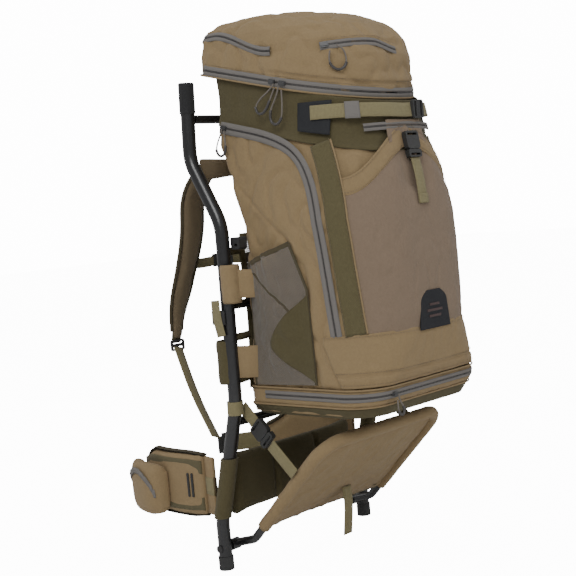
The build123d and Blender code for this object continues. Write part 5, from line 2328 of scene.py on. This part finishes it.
# ------------------------------------------------------------- the frame and its fabric
@dataclass
class FrameTrim:
    """Finishes of the carried hard pieces, and the fabric that holds the bag to them."""

    # which of the frame's nodes take which finish
    FINISHES = (
        ("upright_left upright_right", Finish.TUBE),
        ("crossbars shelf_bar", Finish.TUBE),
        ("foot_caps shelf_pivots", Finish.PLASTIC),
        ("bag_brackets", Finish.PLASTIC),
        ("front_buckle front_clip shelf_buckles shelf_clips", Finish.BUCKLE),
        ("compression_buckle ladder_lock_left ladder_lock_right", Finish.PLASTIC),
        ("lid_slider_rear lid_slider_front lid_pocket_slider", Finish.SLIDER),
        ("side_slider_left base_slider", Finish.SLIDER),
        ("shelf_straps", Finish.WEBBING),
        ("belt_sleeves", Finish.OLIVE),
        ("top_sleeves", Finish.SLEEVE),
    )

    def dress(self) -> None:
        """Give every carried piece its procedural finish."""
        for names, finish in self.FINISHES:
            for name in names.split():
                obj = bpy.data.objects.get(name)
                if obj is None:
                    LOG.info("no carried piece called %s", name)
                    continue
                obj.data.materials.clear()
                obj.data.materials.append(finish.material)

    @staticmethod
    def tube_y(z: float, side: Side) -> float:
        """Where an upright's middle runs in Y at a height."""
        obj = bpy.data.objects[f"upright_{side.tag}"]
        near = [v.co.y for v in obj.data.vertices if abs(v.co.z - z) < 12 * MM]
        if not near:
            rows = sorted(obj.data.vertices, key=lambda v: abs(v.co.z - z))[:24]
            near = [v.co.y for v in rows]
        return (min(near) + max(near)) / 2


    def _sleeve(self, name: str, side: Side, low: float, high: float, radius: float,
                finish: Finish, depth: float, body: str = Body.ROOT) -> None:
        """A loose cloth sleeve round an upright.

        Args:
            name: The piece's name.
            side: Which upright.
            low: Its lower end.
            high: Its upper end.
            radius: Its radius.
            finish: Its finish.
            depth: Depth of its creases.
            body: The body it rides on.
        """
        x = self.tube_x * side.value
        rows = max(6, round((high - low) / (4 * MM)))
        middles = [Vector((x, self.tube_y(low + (high - low) * r / rows, side),
                           low + (high - low) * r / rows)) for r in range(rows + 1)]

        def place(u: float, v: float) -> Vector:
            middle = middles[round(v * rows)]
            turn = 2 * math.pi * u
            out = Vector((math.cos(turn), math.sin(turn), 0))
            crease = depth * (0.5 + 0.5 * wave(middle + out * 0.02, 60, low * 9))
            lip = 1.5 * MM * (bump_to(v, 0, 0.06) + bump_to(v, 1, 0.06))
            return middle + out * (radius + crease - lip)

        bm = Workshop.sheet(32, rows, place, wrap=True)
        bmesh.ops.recalc_face_normals(bm, faces=bm.faces)
        obj = Workshop.piece(bm, f"{name}_{side.tag}", finish, body, map_cloth=False)
        Workshop.thicken(obj, 1.4 * MM)

    def build(self) -> None:
        """Dress the frame and add its sleeves, loops and strap ends."""
        self.dress()
        for side in Side:
            self._sleeve("frame_sleeve_high", side, 505 * MM, 575 * MM, 17 * MM, Finish.TAN,
                         2.5 * MM)
            self._sleeve("frame_sleeve_low", side, 357 * MM, 437 * MM, 17 * MM,
                         Finish.OLIVE, 2.5 * MM)
            self._side_wings(side)

    @property
    def tube_x(self) -> float:
        """How far an upright's middle lies from the middle of the pack."""
        low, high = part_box("upright_right")
        return (low.x + high.x) / 2

    def _side_wings(self, side: Side) -> None:
        """Cloth tabs from each sleeve back to the bag, with their webbing tails."""
        for tag, low, high in (("high", 508, 572), ("low", 360, 434)):
            middle = (low + high) / 2 * MM
            y = self.tube_y(middle, side)
            start = Vector((side.value * (self.tube_x - 2 * MM), y - 16 * MM, middle))
            end = start + Vector((-side.value * 30 * MM, -34 * MM, -2 * MM))
            line = smooth_line([start, start.lerp(end, 0.5) + Vector((0, -6 * MM, 0)), end], 12)
            Workshop.strap(f"frame_tab_{tag}_{side.tag}",
                           stations_along(line, Vector((side.value, 0, 0))),
                           ((high - low) * 0.8 * MM, 2 * MM), Finish.TAN, Body.ROOT)
        self._belt_wrap(side)
        z = 480 * MM
        y = self.tube_y(z, side)
        x = side.value * self.tube_x
        bm = bmesh.new()
        at = Vector((x + side.value * 15.5 * MM, y - 4 * MM, z))
        Workshop.block(bm, at, (5 * MM, 32 * MM, 26 * MM))
        Workshop.round_edges(bm, 1.6 * MM)
        Workshop.piece(bm, f"frame_buckle_{side.tag}", Finish.PLASTIC, Body.ROOT)
        top = Vector((x + side.value * 18 * MM, y - 2 * MM, 512 * MM))
        mid = Vector((x + side.value * 19.5 * MM, y - 4 * MM, z))
        tail = Vector((x + side.value * 17 * MM, y - 10 * MM, 446 * MM))
        strap = Workshop.sweep(
            stations_along(smooth_line([top, mid, tail], 20), Vector((side.value, 0, 0))),
            rounded_outline(22 * MM, 1.8 * MM), True,
        )
        Workshop.piece(strap, f"frame_strap_{side.tag}", Finish.WEBBING, Body.ROOT,
                       map_cloth=False)


    def _belt_wrap(self, side: Side) -> None:
        """The cloth that joins the hip belt's wing to the upright."""
        low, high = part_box("belt_sleeves")
        z = (low.z + high.z) / 2
        x = side.value * (self.tube_x - 2 * MM)
        start = Vector((x + side.value * 4 * MM, self.tube_y(z, side) + 2 * MM, z))
        end = Vector((side.value * 198 * MM, 40 * MM, z))
        bend = start.lerp(end, 0.5) + Vector((side.value * 2 * MM, 0, 0))
        stops = stations_along(smooth_line([start, bend, end], 14), Vector((side.value, 0, 0)))
        for name, wide, thick, finish, last in (
            ("belt_wrap", 112 * MM, 7 * MM, Finish.TAN, 14),
            ("belt_wrap_webbing", 38 * MM, 9.5 * MM, Finish.WEBBING, 12),
        ):
            Workshop.strap(f"{name}_{side.tag}", stops[:last],
                           (wide, thick, -thick / 2), finish, Body.ROOT)


@dataclass
class Shelf:
    """The fold-down shelf's cloth: its panel, the sleeves round its tube and its straps.

    Attributes:
        arm_x: How far an arm's middle lies from the middle of the pack.
        bend: Radius of the tube's corners.
        sleeve: Radius of the cloth round the tube.
    """

    arm_x: float = 172 * MM
    bend: float = 45 * MM
    sleeve: float = 11.2 * MM

    def __post_init__(self) -> None:
        """Keep the line of the shelf from its elbow to its tip."""
        self.elbow = Vector((0, -50 * MM, 56 * MM))
        self.tip = Vector((0, -246 * MM, 250 * MM))
        self.run = (self.tip - self.elbow).normalized()
        self.reach = (self.tip - self.elbow).length
        self.up = Vector((1, 0, 0)).cross(self.run) * -1
        if self.up.z < 0:
            self.up = -self.up

    def at(self, x: float, along: float, lift: float = 0.0) -> Vector:
        """A point of the shelf."""
        return self.elbow + self.run * along + Vector((x, 0, 0)) + self.up * lift

    def tube_line(self, start: float) -> list[Vector]:
        """The tube's middle line round the shelf, from a distance along each arm."""
        line = [self.at(-self.arm_x, start + (self.reach - self.bend - start) * i / 30)
                for i in range(30)]
        for centre, first in ((-self.arm_x + self.bend, 180), (self.arm_x - self.bend, 90)):
            for step in range(13):
                turn = math.radians(first - 90 * step / 12)
                line.append(self.at(centre + self.bend * math.cos(turn),
                                    self.reach - self.bend + self.bend * math.sin(turn)))
            if first == 180:
                span = 2 * (self.arm_x - self.bend)
                line += [self.at(centre + span * i / 24, self.reach) for i in range(1, 24)]
        line += [self.at(self.arm_x, self.reach - self.bend
                         + (start - self.reach + self.bend) * i / 30) for i in range(1, 31)]
        return line

    def build(self) -> None:
        """Make the shelf's cloth."""
        start = 38 * MM
        points = self.tube_line(start)
        count = len(points) - 1
        stops = stations_along(points, self.up)

        def tube(u: float, v: float) -> Vector:
            stop = stops[round(v * count)]
            turn = 2 * math.pi * u
            crease = 1.4 * MM * wave(stop.at + stop.out * 0.02 * math.sin(turn), 55, 4)
            radius = self.sleeve + 0.6 * MM + abs(crease)
            return (stop.at + stop.across * radius * math.cos(turn)
                    + stop.out * radius * math.sin(turn))

        bm = Workshop.sheet(20, count, tube, wrap=True)
        bmesh.ops.recalc_face_normals(bm, faces=bm.faces)
        sleeve = Workshop.piece(bm, "shelf_sleeve", Finish.TAN, Body.SHELF, map_cloth=False)
        Workshop.thicken(sleeve, 1.2 * MM)

        def panel(u: float, v: float) -> Vector:
            along = start + (self.reach - start) * v
            x = -self.arm_x + 2 * self.arm_x * u
            gap = along - (self.reach - self.bend)
            if gap > 0:
                side = self.arm_x - self.bend + math.sqrt(max(self.bend**2 - gap**2, 0))
                x = max(-side, min(side, x))
            sag = (1 - (2 * u - 1) ** 2) * math.sin(v * math.pi) * 9 * MM
            edge = 5 * MM * bump_to(v, 0, 0.12) * (1 - (2 * u - 1) ** 2)
            crease = folds(Vector((x, along, 0)), 2.6 * MM, 33)
            point = self.at(x, along + edge, -sag + crease)
            return point

        bm = Workshop.sheet(70, 48, panel)
        if bm.faces[:] and sum((f.normal for f in bm.faces), Vector()).dot(self.up) < 0:
            bmesh.ops.reverse_faces(bm, faces=bm.faces)
        obj = Workshop.piece(bm, "shelf_cloth", Finish.TAN, Body.SHELF, ["shelf_panel"],
                             map_cloth=False)
        Workshop.thicken(obj, 1.5 * MM)
        self._trims(panel)

    def _trims(self, panel: Place) -> None:
        """Seam, bottom edge and the strap that hangs from the panel's middle."""
        rows = []
        for v in (0.62, 0.655):
            spots = [Spot(panel(0.03 + 0.94 * i / 60, v) + self.up * 0.8 * MM, self.up)
                     for i in range(61)]
            rows.append(spots)
        Workshop.strap("shelf_seam", stations_on(rows[0]),
                       (6 * MM, 1.6 * MM, -0.4 * MM), Finish.OLIVE, Body.SHELF)
        edge = [Spot(panel(0.02 + 0.96 * i / 60, 0.01), self.up) for i in range(61)]
        Workshop.strap("shelf_hem", stations_on(edge),
                       (16 * MM, 3 * MM, -1.2 * MM), Finish.OLIVE, Body.SHELF)
        top = panel(0.5, 0.3) - self.up * 2.5 * MM
        low = Vector((top.x, top.y + 6 * MM, 30 * MM))
        line = smooth_line([top, Vector((top.x, top.y - 3 * MM, 0.09)), low], 16)
        Workshop.strap("shelf_tail", stations_along(line, Vector((0, -1, 0))),
                       (25 * MM, 1.8 * MM), Finish.WEBBING, Body.SHELF)
        self._side_straps()

    def _side_straps(self) -> None:
        """The lower straps, straight between their clips and the shelf, baked in place on no body."""
        low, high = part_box("shelf_webbing")
        for side in Side:
            x = side.value * (high.x - 1 * MM)
            top = Vector((x, high.y - 7 * MM, high.z - 9 * MM))
            end = Vector((x, low.y + 8 * MM, low.z + 10 * MM))
            line = [top.lerp(end, i / 30) for i in range(31)]
            strap = Workshop.sweep(stations_along(line, Vector((side.value, 0, 0))),
                                   rounded_outline(25 * MM, 2.0 * MM, -1 * MM), True)
            obj = Workshop.loose(strap, f"shelf_strap_low_{side.tag}", Finish.WEBBING,
                                 ["shelf_webbing"] if side is Side.LEFT else [])
            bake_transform(obj)


# --------------------------------------------------------------------------- pull cords
@dataclass(frozen=True)
class PullCord:
    """A loop of thin cord on a zipper's slider.

    Attributes:
        node: The frame's node that it replaces.
        slider: The node that it comes out of; not used.
        body: The body it rides on.
        route: Its points, in millimetres.
        length: Its length along the route.
        diameter: Its thickness.
    """

    node: str
    slider: str
    body: str
    route: tuple[tuple[float, float, float], ...]
    length: float
    diameter: float = 3.0 * MM

    def build(self) -> None:
        curve = bpy.data.curves.new(f"{self.node}_pull", "CURVE")
        curve.dimensions = "3D"
        curve.resolution_u = 12
        curve.bevel_depth = self.diameter / 2
        curve.bevel_resolution = 4
        curve.use_fill_caps = True
        spline = curve.splines.new("NURBS")
        spline.points.add(len(self.route) - 1)
        for slot, point in zip(spline.points, self.route):
            slot.co = (*(part * MM for part in point), 1.0)
        spline.order_u = 3
        spline.use_endpoint_u = True
        curve.materials.append(Finish.CORD.material)
        obj = bpy.data.objects.new(f"{self.node}_pull", curve)
        bpy.context.scene.collection.objects.link(obj)
        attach(obj, self.body)
        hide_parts(self.node)
        start = [part * MM for part in self.route[0]]
        self._grip()
        LOG.info("%s: cord of %.0f mm", self.node, self.length * 1000)

    def _grip(self) -> bpy.types.Object:
        """The moulded lower part of the loop."""
        lowest = min(range(len(self.route)), key=lambda i: self.route[i][2])
        around = [Vector(self.route[i]) * MM
                  for i in range(max(lowest - 2, 0), min(lowest + 3, len(self.route)))]
        points = smooth_line(around, 14)
        facing = Vector((1, 0.2, 0)) if abs(around[0].x - around[-1].x) < 3 * MM else Vector(
            (0, -1, 0))
        radius = self.diameter / 2 + 1.0 * MM
        tube = Workshop.sweep(stations_along(points, facing), ellipse(radius, radius, 10), True)
        return Workshop.piece(tube, f"{self.node}_grip", Finish.COIL, self.body, map_cloth=False)


PULL_CORDS = (
    PullCord(
        "lid_cord_rear", "lid_slider_rear", "lid_slider_rear",
        tuple((-164.8, y, z) for y, z in (
            (-191.5, 884), (-183, 877), (-171, 870), (-155, 862), (-143, 850), (-146, 838),
            (-158, 835), (-170, 844), (-179, 857), (-186, 868), (-192, 877))),
        0.136,
    ),
    PullCord(
        "lid_cord_front", "lid_slider_front", "lid_slider_front",
        tuple((-164.8, y, z) for y, z in (
            (-202, 877.5), (-198.5, 868), (-189, 854), (-179, 840), (-176, 824), (-184, 814),
            (-196, 815), (-204, 825), (-207, 840), (-208.5, 856), (-208.5, 872))),
        0.1428,
    ),
    PullCord(
        "side_cord_left", "side_slider_left", "side_slider",
        tuple((-165.14 - sink, y, z) for sink, y, z in (
            (0, -53, 819), (0, -48, 809), (1.5, -41, 797), (3, -37, 784), (3, -41, 773),
            (3, -51, 770), (3, -60, 776), (3, -62, 789), (1.5, -60, 803), (0, -58.5, 816))),
        0.1099,
    ),
    PullCord(
        "lid_pocket_cord", "lid_pocket_slider", "lid_pocket_slider",
        ((-112, -296.5, 938), (-106, -301, 935), (-100.5, -303.5, 928), (-97, -303.5, 919),
         (-96, -303, 909), (-100, -300.5, 900), (-108, -294.5, 896), (-115.5, -288, 901),
         (-119, -284.5, 910), (-120, -285, 920), (-119.5, -287.5, 930)),
        0.0977,
    ),
    PullCord(
        "base_cord", "base_slider", "base_slider",
        tuple((x, -368.5, z) for x, z in (
            (-107.5, 335), (-106, 327), (-102, 319), (-96, 312), (-94, 304), (-99, 298),
            (-106, 299), (-110, 306), (-111.5, 315), (-111, 325))),
        0.0748,
    ),
)


# ------------------------------------------------------------------------------ studio
@dataclass
class Studio:
    """A pale floor, soft lights and the camera."""

    lens: float = 75.36
    azimuth: float = -48.2
    elevation: float = 5.1
    roll: float = 4.82
    spot: tuple[float, float, float] = (-1.7106, -1.6495, 0.6848)

    # name, position, aim, size, power
    LIGHTS = (
        ("key", (-2.4, -1.6, 2.6), (0, -0.1, 0.5), 1.8, 52),
        ("fill", (1.6, -2.8, 1.6), (0, -0.1, 0.5), 2.2, 15),
        ("rim", (-1.2, 2.6, 2.4), (0, 0, 0.6), 1.6, 18),
        ("top", (0.2, -0.2, 3.4), (0, -0.1, 0.4), 2.4, 16),
    )

    def build(self) -> None:
        """Set the stage."""
        bm = bmesh.new()
        bmesh.ops.create_grid(bm, x_segments=2, y_segments=2, size=12.0)
        bmesh.ops.translate(bm, verts=bm.verts, vec=(0, 0, -0.0005))
        mesh = bpy.data.meshes.new("floor")
        bm.to_mesh(mesh)
        bm.free()
        graph = Graph("floor_white")
        white = (0.9, 0.9, 0.9, 1.0)
        seen = graph.node("ShaderNodeLightPath").outputs["Is Camera Ray"]
        mesh.materials.append(graph.surface(
            Base_Color=white, Roughness=0.8, Emission_Color=seen, Emission_Strength=13.0))
        floor = bpy.data.objects.new("floor", mesh)
        bpy.context.scene.collection.objects.link(floor)
        self._sky()
        for name, at, aim, size, power in self.LIGHTS:
            light = bpy.data.lights.new(name, "AREA")
            light.shape = "DISK"
            light.size = size
            light.energy = power
            lamp = bpy.data.objects.new(name, light)
            lamp.location = at
            aimed = Vector(aim) - Vector(at)
            lamp.rotation_euler = aimed.to_track_quat("-Z", "Y").to_euler()
            bpy.context.scene.collection.objects.link(lamp)
        self._camera()

    @staticmethod
    def _sky() -> None:
        """An even white surrounding."""
        world = bpy.data.worlds.new("sky")
        world.use_nodes = True
        tree = world.node_tree
        back = tree.nodes["Background"]
        back.inputs["Color"].default_value = (1.0, 1.0, 1.0, 1.0)
        rays = tree.nodes.new("ShaderNodeLightPath")
        gain = tree.nodes.new("ShaderNodeMath")
        gain.operation = "MULTIPLY_ADD"
        gain.inputs[1].default_value = 14.0
        gain.inputs[2].default_value = 0.42
        tree.links.new(rays.outputs["Is Camera Ray"], gain.inputs[0])
        tree.links.new(gain.outputs[0], back.inputs["Strength"])
        bpy.context.scene.world = world

    def _camera(self) -> None:
        """The camera, close and a little below the middle of the pack."""
        turn, rise, roll = (math.radians(a) for a in (self.azimuth, self.elevation, self.roll))
        back = Vector((math.sin(turn) * math.cos(rise), -math.cos(turn) * math.cos(rise),
                       math.sin(rise)))
        right = Vector((math.cos(turn), math.sin(turn), 0))
        up = back.cross(right)
        across = right * math.cos(roll) - up * math.sin(roll)
        upward = right * math.sin(roll) + up * math.cos(roll)
        frame = Matrix((across, upward, back)).transposed().to_4x4()
        lens = bpy.data.cameras.new("camera")
        lens.lens = self.lens
        lens.sensor_width = 36.0
        lens.shift_x = -0.0635
        lens.shift_y = 0.0262
        camera = bpy.data.objects.new("camera", lens)
        camera.matrix_world = Matrix.Translation(self.spot) @ frame
        bpy.context.scene.collection.objects.link(camera)
        bpy.context.scene.camera = camera


def main() -> None:
    """Build the whole pack and its studio."""
    cut = Cut.from_frame()
    bag = Bag(cut)
    bag.build()
    for side in Side:
        MeshPocket(bag, side).build()
    Base(bag).build()
    Collar(bag).build()
    FrontStraps(bag).build()
    Lid(cut).build()
    FrameTrim().build()
    Shelf().build()
    ShoulderPads().build()
    BackPanel().build()
    HipBelt().build()
    for cord in PULL_CORDS:
        cord.build()
    Studio().build()


if __name__ == "__main__":
    main()
